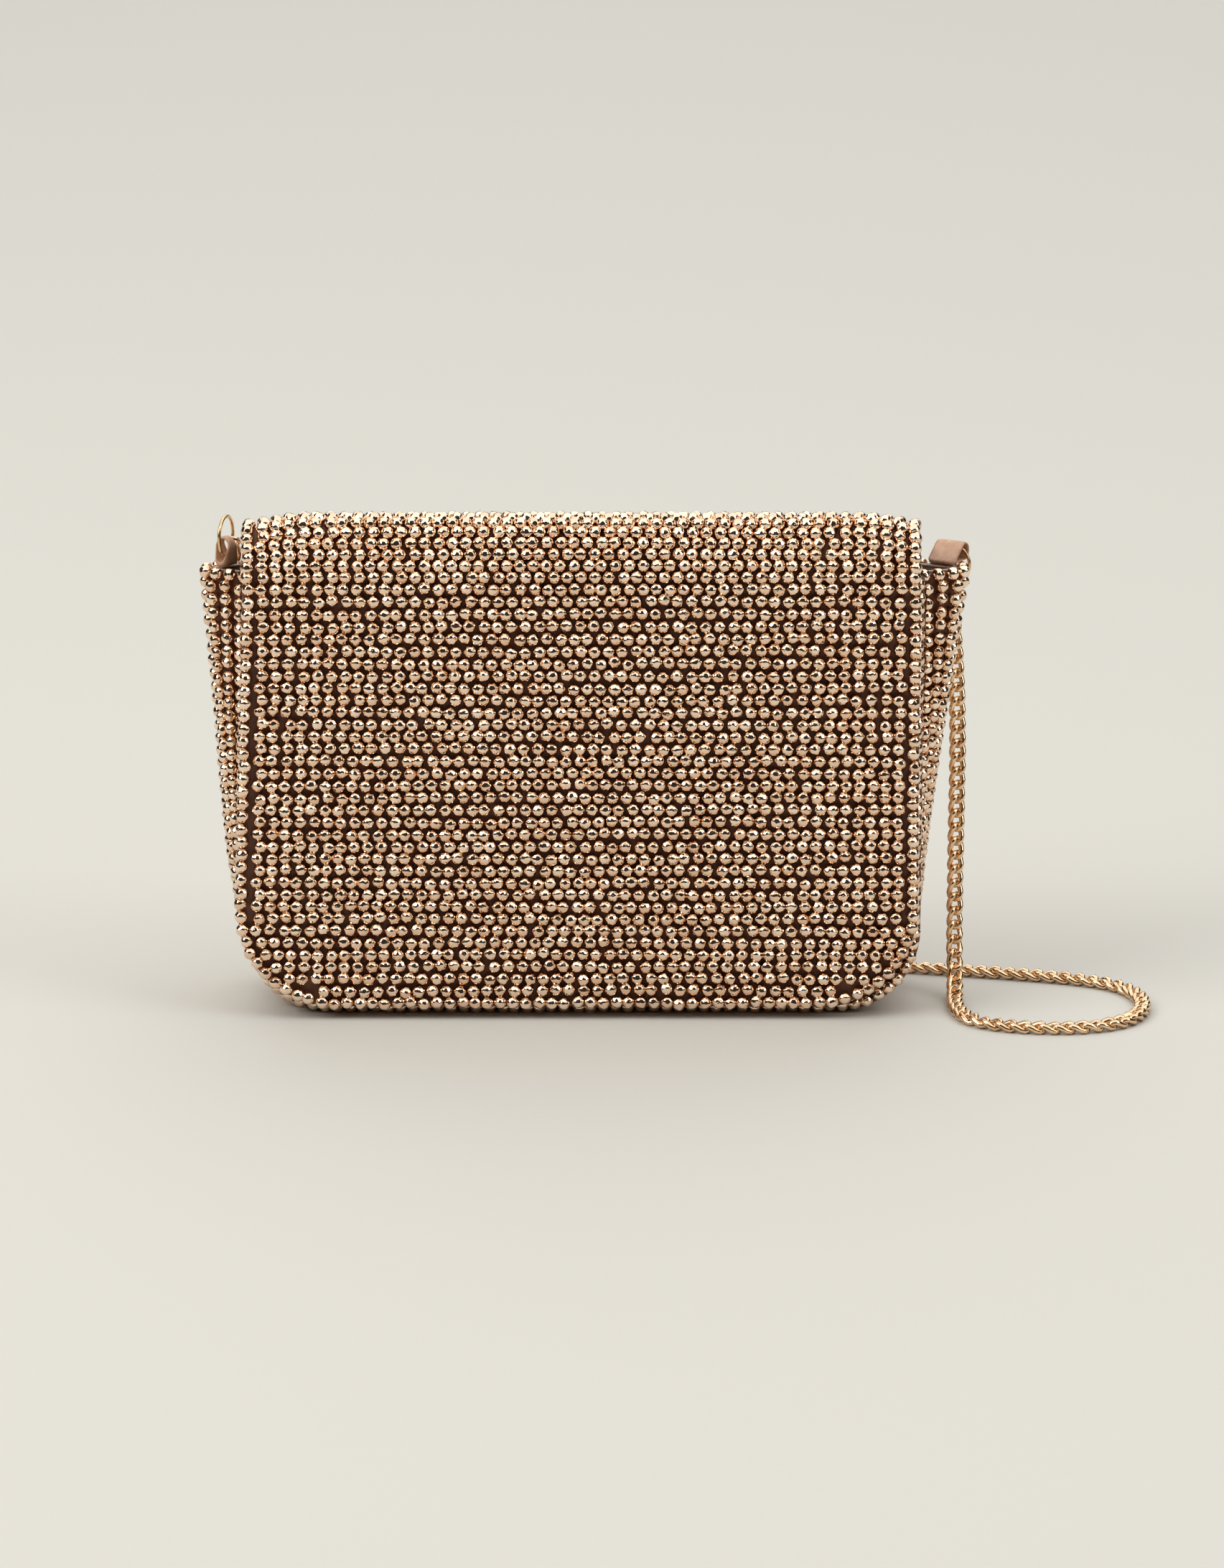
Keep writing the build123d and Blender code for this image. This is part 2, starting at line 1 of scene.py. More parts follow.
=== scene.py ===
import math
import bmesh
import bpy
import numpy as np
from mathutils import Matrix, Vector


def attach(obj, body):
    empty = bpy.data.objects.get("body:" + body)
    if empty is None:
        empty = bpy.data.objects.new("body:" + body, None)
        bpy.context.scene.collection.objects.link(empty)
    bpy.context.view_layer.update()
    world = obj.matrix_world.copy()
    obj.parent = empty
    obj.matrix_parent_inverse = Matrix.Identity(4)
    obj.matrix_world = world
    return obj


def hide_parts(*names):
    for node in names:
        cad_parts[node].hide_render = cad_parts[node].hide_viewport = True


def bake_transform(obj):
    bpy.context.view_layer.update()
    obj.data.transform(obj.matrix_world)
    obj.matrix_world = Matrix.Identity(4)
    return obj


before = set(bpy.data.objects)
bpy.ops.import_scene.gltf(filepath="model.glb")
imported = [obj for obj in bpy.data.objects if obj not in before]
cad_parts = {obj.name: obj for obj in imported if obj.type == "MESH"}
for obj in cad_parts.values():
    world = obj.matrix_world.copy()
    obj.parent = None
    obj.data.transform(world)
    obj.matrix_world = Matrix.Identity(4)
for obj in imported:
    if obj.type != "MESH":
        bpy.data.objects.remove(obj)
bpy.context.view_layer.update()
chance = np.random.default_rng(7)
millimetre = 0.001
print("frame loaded")

# ---- camera

camera = {
    "aim": (0.0096, 0.0, 0.0757), "distance": 2.0, "elevation": 15.0,
    "viewHeight": 0.539,  # how much of the scene the picture's height takes in at the aim
    "sensor": 36.0, "reach": 50.0,
}


def addCamera(settings):
    tilt = math.radians(settings["elevation"])
    data = bpy.data.cameras.new("camera")
    data.sensor_fit = "VERTICAL"
    data.sensor_height = settings["sensor"]
    data.lens = settings["sensor"] * settings["distance"] / settings["viewHeight"]
    data.clip_end = settings["reach"]
    eye = bpy.data.objects.new("camera", data)
    away = Vector((0, -math.cos(tilt), math.sin(tilt)))
    eye.location = Vector(settings["aim"]) + away * settings["distance"]
    eye.rotation_euler = away.to_track_quat("Z", "Y").to_euler()
    bpy.context.scene.collection.objects.link(eye)
    bpy.context.scene.camera = eye


addCamera(camera)

# ---- building meshes from arrays


def newPiece(name, points, faces, material, smooth=True):
    # points in millimetres, faces all with the same number of corners
    mesh = bpy.data.meshes.new(name)
    faces = np.asarray(faces, dtype=np.int32)
    corners = faces.shape[1]
    mesh.vertices.add(len(points))
    mesh.vertices.foreach_set("co", (np.asarray(points) * millimetre).astype(np.float32).ravel())
    mesh.loops.add(faces.size)
    mesh.loops.foreach_set("vertex_index", faces.ravel())
    mesh.polygons.add(len(faces))
    mesh.polygons.foreach_set("loop_start", np.arange(0, faces.size, corners, dtype=np.int32))
    mesh.polygons.foreach_set("use_smooth", np.full(len(faces), smooth))
    mesh.update(calc_edges=True)
    mesh.validate()
    mesh.materials.append(material)
    piece = bpy.data.objects.new(name, mesh)
    bpy.context.scene.collection.objects.link(piece)
    return piece


def gridFaces(rows, columns, closeRows=False, closeColumns=False):
    # the four corners of every cell of a grid of points stored row by row
    index = np.arange(rows * columns).reshape(rows, columns)
    if closeRows:
        index = np.vstack([index, index[:1]])
    if closeColumns:
        index = np.hstack([index, index[:, :1]])
    cells = [index[:-1, :-1], index[:-1, 1:], index[1:, 1:], index[1:, :-1]]
    return np.stack(cells, axis=-1).reshape(-1, 4)


def copyFaces(faces, corners, count):
    # the faces of count copies of a shape that has this many corners
    return (faces[None] + (np.arange(count) * corners)[:, None, None]).reshape(-1, faces.shape[1])


def pointOutwards(piece, closeEnds=False):
    work = bmesh.new()
    work.from_mesh(piece.data)
    if closeEnds:
        bmesh.ops.holes_fill(work, edges=work.edges)
    bmesh.ops.recalc_face_normals(work, faces=work.faces)
    work.to_mesh(piece.data)
    work.free()


def addUv(piece, along, across):
    # one pair of lengths in metres for each vertex, so that a weave follows the cloth
    mesh = piece.data
    layer = mesh.uv_layers.new(name="weave")
    corner = np.empty(len(mesh.loops), dtype=np.int32)
    mesh.loops.foreach_get("vertex_index", corner)
    pairs = np.stack([along, across], axis=-1)[corner] * millimetre
    layer.data.foreach_set("uv", pairs.astype(np.float32).ravel())


def clothShell(name, outer, inner, material):
    # a closed skin: the outer grid, the inner grid, and a strip round their shared border
    rows, columns = outer.shape[:2]
    count = rows * columns
    index = np.arange(count).reshape(rows, columns)
    border = np.concatenate([index[0, :-1], index[:-1, -1], index[-1, :0:-1], index[:0:-1, 0]])
    following = np.roll(border, -1)
    strip = np.stack([border, border + count, following + count, following], axis=-1)
    top = gridFaces(rows, columns)
    faces = np.vstack([top, top[:, ::-1] + count, strip])
    piece = newPiece(name, np.vstack([outer.reshape(-1, 3), inner.reshape(-1, 3)]), faces, material)
    step = np.linalg.norm(np.diff(outer, axis=0, prepend=outer[:1]), axis=-1).mean(axis=1)
    along = np.broadcast_to(np.cumsum(step)[:, None], (rows, columns))
    width = np.linalg.norm(np.diff(outer, axis=1, prepend=outer[:, :1]), axis=-1)
    across = np.cumsum(width, axis=1)
    across = across - across[:, -1:] / 2
    addUv(piece, np.tile(along.ravel(), 2), np.tile(across.ravel(), 2))
    pointOutwards(piece)
    return piece


def smoothStep(value):
    value = np.clip(value, 0, 1)
    return value * value * (3 - 2 * value)


def unit(vectors):
    return vectors / np.linalg.norm(vectors, axis=-1, keepdims=True)


def fullTurn(count):
    # angles in even steps round a circle
    return np.arange(count) * 2 * np.pi / count


def around(roll, first, second):
    # ovals: cosine of the roll times one half axis plus sine times the other
    return np.cos(roll)[None, :, None] * first[:, None] + np.sin(roll)[None, :, None] * second[:, None]


def lengthsAlong(line):
    # length travelled from the start of a line to each of its points
    return np.concatenate([[0], np.cumsum(np.linalg.norm(np.diff(line, axis=0), axis=1))])


def pointsAt(line, lengths, places):
    # points of a line at the given lengths along it
    return np.stack([np.interp(places, lengths, axis) for axis in line.T], axis=-1)


# ---- materials

plateWear = {
    "dullest": 1.8,  # roughness of a smear against the clean plate
    "scratchScale": 12.0,  # scratches against smears
    "scratchStrength": 0.12, "scratchDepth": 0.0001,
}
threadWork = {
    "wander": 0.6,
    "weft": 0.6,  # crosswise threads against lengthwise ones
    "depth": 0.00008, "sheenRoughness": 0.35, "gloss": 0.6,
}
grainRelief = {
    "strength": 0.3, "depth": 0.0002,
}


def newMaterial(name, colour, metallic=0.0, roughness=0.5):
    material = bpy.data.materials.new(name)
    material.use_nodes = True
    shader = material.node_tree.nodes["Principled BSDF"]
    shader.inputs["Base Color"].default_value = (*colour, 1)
    shader.inputs["Metallic"].default_value = metallic
    shader.inputs["Roughness"].default_value = roughness
    return material, shader


def addNode(material, kind, **inputs):
    node = material.node_tree.nodes.new("ShaderNode" + kind)
    for key, value in inputs.items():
        node.inputs[key].default_value = value
    return node


def join(start, outlet, end, inlet):
    start.id_data.links.new(start.outputs[outlet], end.inputs[inlet])


def colourRange(material, source, outlet, dark, light, low=0.3, high=0.7):
    # colours between dark and light as the source goes from low to high
    ramp = addNode(material, "ValToRGB")
    ramp.color_ramp.elements[0].position = low
    ramp.color_ramp.elements[0].color = (*dark, 1)
    ramp.color_ramp.elements[1].position = high
    ramp.color_ramp.elements[1].color = (*light, 1)
    join(source, outlet, ramp, "Fac")
    return ramp


def addRelief(material, shader, source, outlet, strength, depth):
    bump = addNode(material, "Bump", Strength=strength, Distance=depth)
    join(source, outlet, bump, "Height")
    join(bump, "Normal", shader, "Normal")


def beadFinish(name, settings):
    # bright plating with soft facets, and a tone of its own on every bead
    material, shader = newMaterial(name, settings["light"], 1.0, settings["roughness"])
    tone = addNode(material, "Attribute")
    tone.attribute_name = "tone"
    ramp = colourRange(material, tone, "Fac", settings["dark"], settings["light"], 0.0, 1.0)
    join(ramp, "Color", shader, "Base Color")
    place = addNode(material, "TexCoord")
    facets = addNode(material, "TexVoronoi", Scale=settings["facetScale"])
    join(place, "Object", facets, "Vector")
    addRelief(material, shader, facets, "Distance", settings["facetStrength"], settings["facetDepth"])
    return material


def metalFinish(name, settings):
    # polished plate with faint smears and tiny scratches
    material, shader = newMaterial(name, settings["light"], 1.0, settings["roughness"])
    place = addNode(material, "TexCoord")
    smear = addNode(material, "TexNoise", Scale=settings["smearScale"], Detail=6.0)
    join(place, "Object", smear, "Vector")
    ramp = colourRange(material, smear, "Fac", settings["dark"], settings["light"])
    join(ramp, "Color", shader, "Base Color")
    rough = addNode(material, "MapRange")
    rough.inputs["To Min"].default_value = settings["roughness"]
    rough.inputs["To Max"].default_value = settings["roughness"] * plateWear["dullest"]
    join(smear, "Fac", rough, "Value")
    join(rough, "Result", shader, "Roughness")
    fineScale = settings["smearScale"] * plateWear["scratchScale"]
    fine = addNode(material, "TexNoise", Scale=fineScale, Detail=3.0)
    join(place, "Object", fine, "Vector")
    addRelief(material, shader, fine, "Fac", plateWear["scratchStrength"], plateWear["scratchDepth"])
    return material


def satinFinish(name, settings):
    # woven threads along and across the cloth, slubs in the colour, and a soft sheen
    material, shader = newMaterial(name, settings["light"], 0.0, settings["roughness"])
    shader.inputs["Sheen Weight"].default_value = settings["sheen"]
    shader.inputs["Sheen Roughness"].default_value = threadWork["sheenRoughness"]
    shader.inputs["Sheen Tint"].default_value = (*settings["sheenTint"], 1)
    shader.inputs["Specular IOR Level"].default_value = threadWork["gloss"]
    uv = addNode(material, "UVMap")
    uv.uv_map = "weave"
    threads = settings["threads"]
    wander = threadWork["wander"]
    warp = addNode(material, "TexWave", Scale=threads, Distortion=wander)
    warp.bands_direction = "X"
    weft = addNode(material, "TexWave", Scale=threads * threadWork["weft"], Distortion=wander)
    weft.bands_direction = "Y"
    slub = addNode(material, "TexNoise", Scale=settings["slubScale"], Detail=5.0)
    for node in (warp, weft, slub):
        join(uv, "UV", node, "Vector")
    ramp = colourRange(material, slub, "Fac", settings["dark"], settings["light"])
    join(ramp, "Color", shader, "Base Color")
    weave = addNode(material, "Math")
    weave.operation = "ADD"
    join(warp, "Fac", weave, 0)
    join(weft, "Fac", weave, 1)
    addRelief(material, shader, weave, "Value", settings["relief"], threadWork["depth"])
    return material


def mattFinish(name, dark, light, scale, roughness=0.9):
    # a dull surface with fine grain in its colour and relief
    material, shader = newMaterial(name, light, 0.0, roughness)
    place = addNode(material, "TexCoord")
    grain = addNode(material, "TexNoise", Scale=scale, Detail=8.0)
    join(place, "Object", grain, "Vector")
    ramp = colourRange(material, grain, "Fac", dark, light)
    join(ramp, "Color", shader, "Base Color")
    addRelief(material, shader, grain, "Fac", grainRelief["strength"], grainRelief["depth"])
    return material


roseGoldBeads = beadFinish("roseGoldBeads", {
    "dark": (0.83, 0.58, 0.41), "light": (0.97, 0.77, 0.60), "roughness": 0.11, "facetScale": 620.0,
    "facetStrength": 0.6, "facetDepth": 0.0004,
})
roseGoldPlate = metalFinish("roseGoldPlate", {
    "dark": (0.76, 0.50, 0.29), "light": (0.93, 0.69, 0.45), "roughness": 0.12, "smearScale": 160.0,
})
goldWire = metalFinish("goldWire", {
    "dark": (0.70, 0.46, 0.22), "light": (0.86, 0.62, 0.34), "roughness": 0.16, "smearScale": 200.0,
})
# satin under the beadwork: the satin's own rose-tan colour darkened as painted shade for the gaps between
# the beads, a shaded copy of the lighter tab satin
copperSatinPaintedShade = satinFinish("copperSatinPaintedShade", {
    "dark": (0.15, 0.055, 0.026), "light": (0.22, 0.085, 0.042), "sheenTint": (1.0, 0.62, 0.42),
    "roughness": 0.42, "sheen": 0.25, "threads": 900.0, "slubScale": 240.0, "relief": 0.5,
})
tabSatin = satinFinish("tabSatin", {
    "dark": (0.50, 0.27, 0.16), "light": (0.66, 0.39, 0.25), "sheenTint": (1.0, 0.76, 0.58),
    "roughness": 0.36, "sheen": 0.25, "threads": 900.0, "slubScale": 300.0, "relief": 0.5,
})
liningSatin = satinFinish("liningSatin", {
    "dark": (0.30, 0.17, 0.11), "light": (0.38, 0.23, 0.15), "sheenTint": (1.0, 0.85, 0.75),
    "roughness": 0.45, "sheen": 0.3, "threads": 1100.0, "slubScale": 180.0, "relief": 0.4,
})
stiffBoard = mattFinish("stiffBoard", (0.26, 0.21, 0.17), (0.36, 0.30, 0.25), 220.0)
paleFelt = mattFinish("paleFelt", (0.50, 0.47, 0.42), (0.66, 0.62, 0.56), 900.0, 1.0)
darkFerrite = mattFinish("darkFerrite", (0.03, 0.03, 0.032), (0.055, 0.055, 0.06), 700.0, 0.55)

keptNodes = (
    (stiffBoard, ("front_board", "back_board", "base_board", "flap_front_board")),
    (paleFelt, ("gusset_interlining_left", "gusset_interlining_right")),
    (darkFerrite, ("snap_magnet",)),
    (roseGoldPlate, ("snap_socket", "snap_socket_washer", "snap_stud", "snap_stud_washer")),
    (goldWire, ("ring_left", "ring_right")),
    (roseGoldPlate, ("end_link_left", "end_link_right")),
)
for material, nodeNames in keptNodes:
    for nodeName in nodeNames:
        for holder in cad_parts[nodeName].material_slots:
            holder.material = material
print("materials made")

# ---- chain, a curb chain whose links follow smooth curves

chain = {
    "pitch": 5.0,
    "halfLength": 3.45,  # of a link's wire line
    "halfWidth": 2.0,
    "twist": 1.0,  # how far each side of a link leans out of its plane
    "wire": 1.05, "aroundLink": 14, "aroundWire": 6, "diameter": 0.0056,
    "lie": 1.95,  # height of the chain's middle on the floor
    "lookAhead": 1.5,  # how far along the route a link's direction is taken
    "facing": (0.3, -0.95, 0.0),  # the way the links of an upright run face
    "unevenness": 0.07,
}
dropPoints = [
    (125.9, 10.9, 137.0), (127.8, 10.6, 118.0), (128.8, 9.6, 92.0), (128.8, 9.3, 78.0),
]
lie = chain["lie"]
hankLie = 2.4  # the hank rests a little higher than the loose chain
strapPoints = [
    (128.8, 9.3, 78.0), (128.7, 9.0, 64.0), (128.6, 8.6, 40.0), (128.6, 7.6, 18.0),
    (128.4, -5.0, lie + 0.2), (127.4, -23.0, lie), (132.5, -37.0, lie), (147.0, -44.0, lie),
    (167.0, -45.5, lie), (184.0, -39.0, lie), (192.0, -25.0, lie), (192.5, -9.0, lie),
    (186.0, 5.0, lie), (170.0, 13.5, lie), (146.0, 20.0, lie), (120.0, 26.0, lie),
    (92.0, 31.5, lie), (66.0, 35.5, lie + 0.2), (30.0, 35.5, hankLie), (8.0, 35.5, hankLie),
    (-20.0, 35.5, hankLie),
]
hank = {
    "x": -5.0, "y": 53.0, "straight": 36.0, "z": hankLie,
    # the side, the first and the last radius of each half turn
    "turns": [(-1, 17.5, 17.5), (1, 17.5, 11.5), (-1, 11.5, 11.5), (1, 11.5, 5.8)],
    "pointsPerHalfTurn": 9,
}
climbPoints = [
    (18.0, 47.2, hankLie), (6.0, 47.2, 2.6), (-6.0, 47.0, 5.6), (-16.0, 44.2, 6.8), (-27.0, 41.4, 6.6),
    (-41.0, 40.2, 6.5), (-57.0, 39.4, 6.0), (-72.5, 38.4, hankLie), (-88.0, 37.6, lie),
    (-103.0, 35.4, 7.5), (-110.5, 32.4, 22.0), (-112.0, 30.4, 42.0), (-113.5, 28.8, 69.0),
    (-116.0, 26.6, 97.0), (-119.5, 22.0, 123.0), (-121.3, 16.6, 146.0), (-119.9, 12.6, 156.4),
]


def hankPoints(settings):
    # half turns round the ends of the hank; each radius goes evenly from its first to its last value
    parts = []
    for side, first, last in settings["turns"]:
        share = np.linspace(0, 1, settings["pointsPerHalfTurn"])
        turn = np.radians(90 * side - 180 * share)
        radius = first + (last - first) * share
        x = settings["x"] + side * settings["straight"] + radius * np.cos(turn)
        y = settings["y"] + radius * np.sin(turn)
        parts.append(np.stack([x, y, np.full_like(x, settings["z"])], axis=-1))
        parts.append(parts[-1][-1:] - np.array([side * settings["straight"], 0, 0]))
    return np.vstack(parts[:-1])


def smoothRoute(points):
    # the points that a NURBS curve through the control points follows, in millimetres
    data = bpy.data.curves.new("route", "CURVE")
    data.dimensions = "3D"
    spline = data.splines.new("NURBS")
    spline.points.add(len(points) - 1)
    controls = np.ones((len(points), 4))
    controls[:, :3] = np.asarray(points) * millimetre
    spline.points.foreach_set("co", controls.ravel())
    spline.order_u = 3
    spline.use_endpoint_u = True
    spline.resolution_u = 16
    holder = bpy.data.objects.new("route", data)
    bpy.context.scene.collection.objects.link(holder)
    bpy.context.view_layer.update()
    mesh = bpy.data.meshes.new_from_object(holder)
    route = np.empty(len(mesh.vertices) * 3)
    mesh.vertices.foreach_get("co", route)
    bpy.data.objects.remove(holder)
    bpy.data.meshes.remove(mesh)
    return route.reshape(-1, 3) / millimetre


def chainLinks(name, route, settings):
    # wire line of a link: half length times cosine, half width times sine,
    # twist times sine of the double angle
    travelled = lengthsAlong(route)
    count = int(round(travelled[-1] / settings["pitch"]))
    places = (np.arange(count) + 0.5) * travelled[-1] / count
    centre = pointsAt(route, travelled, places)
    ahead = pointsAt(route, travelled, places + settings["lookAhead"])
    behind = pointsAt(route, travelled, places - settings["lookAhead"])
    tangent = unit(ahead - behind)
    upright = tangent[:, 2:] ** 2
    flat = np.array([0.0, 0.0, 1.0]) * (1 - upright) + np.array(settings["facing"]) * upright
    flat += chance.normal(0, settings["unevenness"], flat.shape)
    side = unit(np.cross(flat, tangent))
    normal = np.cross(tangent, side)
    turn = fullTurn(settings["aroundLink"])
    line = np.stack([
        settings["halfLength"] * np.cos(turn),
        settings["halfWidth"] * np.sin(turn),
        settings["twist"] * np.sin(2 * turn),
    ], axis=-1)
    travel = unit(np.roll(line, -1, axis=0) - np.roll(line, 1, axis=0))
    outward = unit(np.cross(travel, [0.0, 0.0, 1.0]))
    upward = np.cross(outward, travel)
    roll = fullTurn(settings["aroundWire"])
    wire = settings["wire"] * around(roll, outward, upward)
    link = (line[:, None] + wire).reshape(-1, 3)
    axes = np.stack([tangent, side, normal], axis=1)
    points = centre[:, None] + np.einsum("pk,nkd->npd", link, axes)
    cells = gridFaces(settings["aroundLink"], settings["aroundWire"], True, True)
    piece = newPiece(name, points.reshape(-1, 3), copyFaces(cells, len(link), count), roseGoldPlate)
    pointOutwards(piece)
    return piece, travelled[-1]


dropRoute = smoothRoute(dropPoints)
strapRoute = smoothRoute(np.vstack([strapPoints, hankPoints(hank), climbPoints]))
chainDrop, dropLength = chainLinks("chainDrop", dropRoute, chain)
chainStrap, strapLength = chainLinks("chainStrap", strapRoute, chain)
print("chain lengths", round(dropLength, 1), round(strapLength, 1))

tie = {
    "x": 14.0, "width": 6.0, "thickness": 0.4, "halfLength": 20.8, "halfHeight": 2.1, "lift": 0.15,
    "squareness": (0.35, 0.6),  # powers of the cosine and of the sine of the turn
    "steps": 64, "weave": 8.0,
}


def ribbonTie(name, settings):
    # a rounded box carried across the hank: a wide loop with a thin wall
    turn = np.linspace(0, 2 * np.pi, settings["steps"], endpoint=False)
    lengthPower, heightPower = settings["squareness"]
    y = settings["halfLength"] * np.sign(np.cos(turn)) * np.abs(np.cos(turn)) ** lengthPower
    z = settings["halfHeight"] * np.sign(np.sin(turn)) * np.abs(np.sin(turn)) ** heightPower
    loop = np.stack([y, z], axis=-1)
    size = np.array([settings["halfLength"], settings["halfHeight"]])
    outerLoop = loop * (size + settings["thickness"]) / size
    half = settings["width"] / 2
    rings = []
    for sideX, shape in ((-half, loop), (-half, outerLoop), (half, outerLoop), (half, loop)):
        x = np.full(len(turn), settings["x"] + sideX)
        z = hank["z"] + settings["lift"] + shape[:, 1]
        rings.append(np.stack([x, hank["y"] + shape[:, 0], z], axis=-1))
    piece = newPiece(name, np.vstack(rings), gridFaces(4, len(turn), True, True), tabSatin)
    across = np.repeat([-half, -half, half, half], len(turn))
    addUv(piece, np.tile(turn * settings["weave"], len(rings)), across)
    pointOutwards(piece)
    return piece


ribbon = ribbonTie("ribbonTie", tie)

# ---- shape of the bag, in millimetres

bag = {
    "mouth": 152.0, "halfDepthBase": 23.0, "halfDepthMouth": 18.0, "halfWidth": 115.0,
    "corner": 28.0, "lift": 0.6, "bead": 4.0,
    "satin": (4.0, 4.8),  # depths inside the outer beads
    "padding": (4.9, 5.75), "lining": (5.85, 6.4), "wall": 6.4,
}
flap = {
    "base": 30.4,  # depth of the flap's plane at the floor
    "bottom": 4.0, "leftTop": 115.0, "rightTop": 113.6, "leftBottom": 119.0, "rightBottom": 114.0,
    "corner": 34.0, "frontFold": -25.4, "backFold": 18.0,
    "shoulder": (28.0, 42.0),  # radius and turn in degrees
    "ridge": (9.0, 83.0),
    "rim": 1.4,  # the satin is turned in round the edge over this width
    "droop": 3.84,  # the ridge sinks towards its ends, by this much if the flap went on
    "droopStart": 92.0, "droopWidth": 32.2, "ridgeHeight": 21.0,
}
leanAngle = math.atan2(bag["halfDepthBase"] - bag["halfDepthMouth"], bag["mouth"])
leanSin = math.sin(leanAngle)
leanCos = math.cos(leanAngle)


def wallProfile(base, side, inset, height):
    # points up a leaning wall; side is -1 for a wall that faces forwards and 1 for one that faces back
    y = side * (base - inset * leanCos - height * leanSin)
    z = height * leanCos - inset * leanSin
    return np.stack([y, z], axis=-1)


def archShape():
    # solves the straight slope and the back arc, so that the arch ends on the back fold
    shoulderRadius, shoulderTurn = flap["shoulder"]
    ridgeRadius, ridgeTurn = flap["ridge"]
    slopeTurn = shoulderTurn + ridgeTurn
    first, second = np.radians([shoulderTurn, slopeTurn])
    shoulderCentre = np.array([flap["frontFold"] + shoulderRadius, bag["mouth"]])
    lean = np.array([-math.cos(first), math.sin(first)])
    ridgeCentre = shoulderCentre + (shoulderRadius - ridgeRadius) * lean
    ridgeEnd = ridgeCentre + ridgeRadius * np.array([-math.cos(second), math.sin(second)])
    left = np.array([flap["backFold"], bag["mouth"]]) - ridgeEnd
    slope = np.array([math.sin(second), math.cos(second)])
    back = np.array([1 + math.cos(second), -math.sin(second)])
    slopeLength, backRadius = np.linalg.solve(np.stack([slope, back], axis=1), left)
    slopeEnd = ridgeEnd + slope * slopeLength
    backCentre = slopeEnd + backRadius * np.array([math.cos(second), -math.sin(second)])
    return {
        "shoulder": (shoulderCentre, shoulderRadius, 0.0, first),
        "ridge": (ridgeCentre, ridgeRadius, first, second),
        "back": (backCentre, backRadius, second, math.pi),
    }


arch = archShape()


def archArc(part, inset, turn):
    # a point on an arc: centre plus radius times minus cosine and sine of the turn
    centre, radius = arch[part][:2]
    return centre + (radius - inset) * np.stack([-np.cos(turn), np.sin(turn)], axis=-1)


def archProfile(inset, share):
    # the whole arch from the front fold to the back fold; share goes from 0 to 1 along its outer line
    lengths = []
    for part in ("shoulder", "ridge", "back"):
        radius, first, last = arch[part][1:]
        lengths.append(radius * (last - first))
    ridgeEnd = archArc("ridge", 0, np.array(arch["ridge"][3]))
    backStart = archArc("back", 0, np.array(arch["back"][2]))
    lengths.insert(2, np.linalg.norm(backStart - ridgeEnd))
    ends = np.cumsum(lengths)
    place = np.asarray(share) * ends[-1]
    points = np.empty((len(place), 2))
    spans = (("shoulder", 0, ends[0]), ("ridge", ends[0], ends[1]), ("back", ends[2], ends[3]))
    for part, start, end in spans:
        chosen = (place >= start) & (place <= end)
        first, last = arch[part][2:]
        turn = first + (last - first) * (place[chosen] - start) / (end - start)
        points[chosen] = archArc(part, inset, turn)
    chosen = (place > ends[1]) & (place < ends[2])
    along = ((place[chosen] - ends[1]) / (ends[2] - ends[1]))[:, None]
    slopeStart = archArc("ridge", inset, np.array(arch["ridge"][3]))
    slopeEnd = archArc("back", inset, np.array(arch["back"][2]))
    points[chosen] = slopeStart + (slopeEnd - slopeStart) * along
    return points, ends[-1]


def archDroop(x, z):
    # how far a point of the arch sinks: most at the ends of the ridge, nothing at the folds
    outwards = smoothStep((np.abs(x) - flap["droopStart"]) / flap["droopWidth"])
    return flap["droop"] * outwards * np.clip((z - bag["mouth"]) / flap["ridgeHeight"], 0, 1)


archLength = archProfile(0, np.array([0.0]))[1]
ridgeShare = flap["shoulder"][0] * arch["shoulder"][3] / archLength
ridgeShare += flap["ridge"][0] * (math.pi / 2 - arch["ridge"][2]) / archLength
print("arch length", round(archLength, 1), "ridge at", round(ridgeShare, 3))

# ---- beads

beads = {
    "radius": 2.32, "sizeSpread": 0.012, "depthSpread": 0.06, "dents": 0.032,
    "edge": 1.9,  # middle of the border row to the edge
    "borderSlack": 0.08,
    "nearBorder": 0.8,  # how far a row may reach into the border's corner
    "cornerSteps": 12,
    "setIn": 0.16,  # of a step, for every other row
    "columnPitch": 4.575, "rowPitch": 4.25, "jitter": 0.19,
    "wave": 0.4,  # the rows wander up and down by this much
    "wallWave": (31.0, 0.5, 90.0, 0.9),  # a short and a long wave: length, turn from row to row
    "archWave": (29.0, 0.6),
    "foldGap": 2.1,  # middle of the first row to the fold
    "frontGap": 2.2,  # and to the mouth edge of the front
    "snapClear": 12.0, "snapHeight": 45.0, "gussetColumns": 9, "gussetPitch": 4.55,
    "gussetSpan": 1.02,
    "topGap": 0.86,  # of a pitch, between the columns and the row along the mouth
    "shift": 0.5,  # of a pitch, for every other column
    "stretch": 0.6,  # of the shift, made up along the column
    "mouthBeads": 10, "mouthSpan": 0.94,
    "mouthRow": 0.8,  # middle of the row along the mouth to its edge
}


def beadShape():
    work = bmesh.new()
    bmesh.ops.create_icosphere(work, subdivisions=2, radius=1.0)
    points = np.array([vertex.co[:] for vertex in work.verts])
    faces = np.array([[corner.index for corner in face.verts] for face in work.faces])
    work.free()
    return points * (1 + chance.normal(0, beads["dents"], len(points)))[:, None], faces


beadPoints, beadFaces = beadShape()


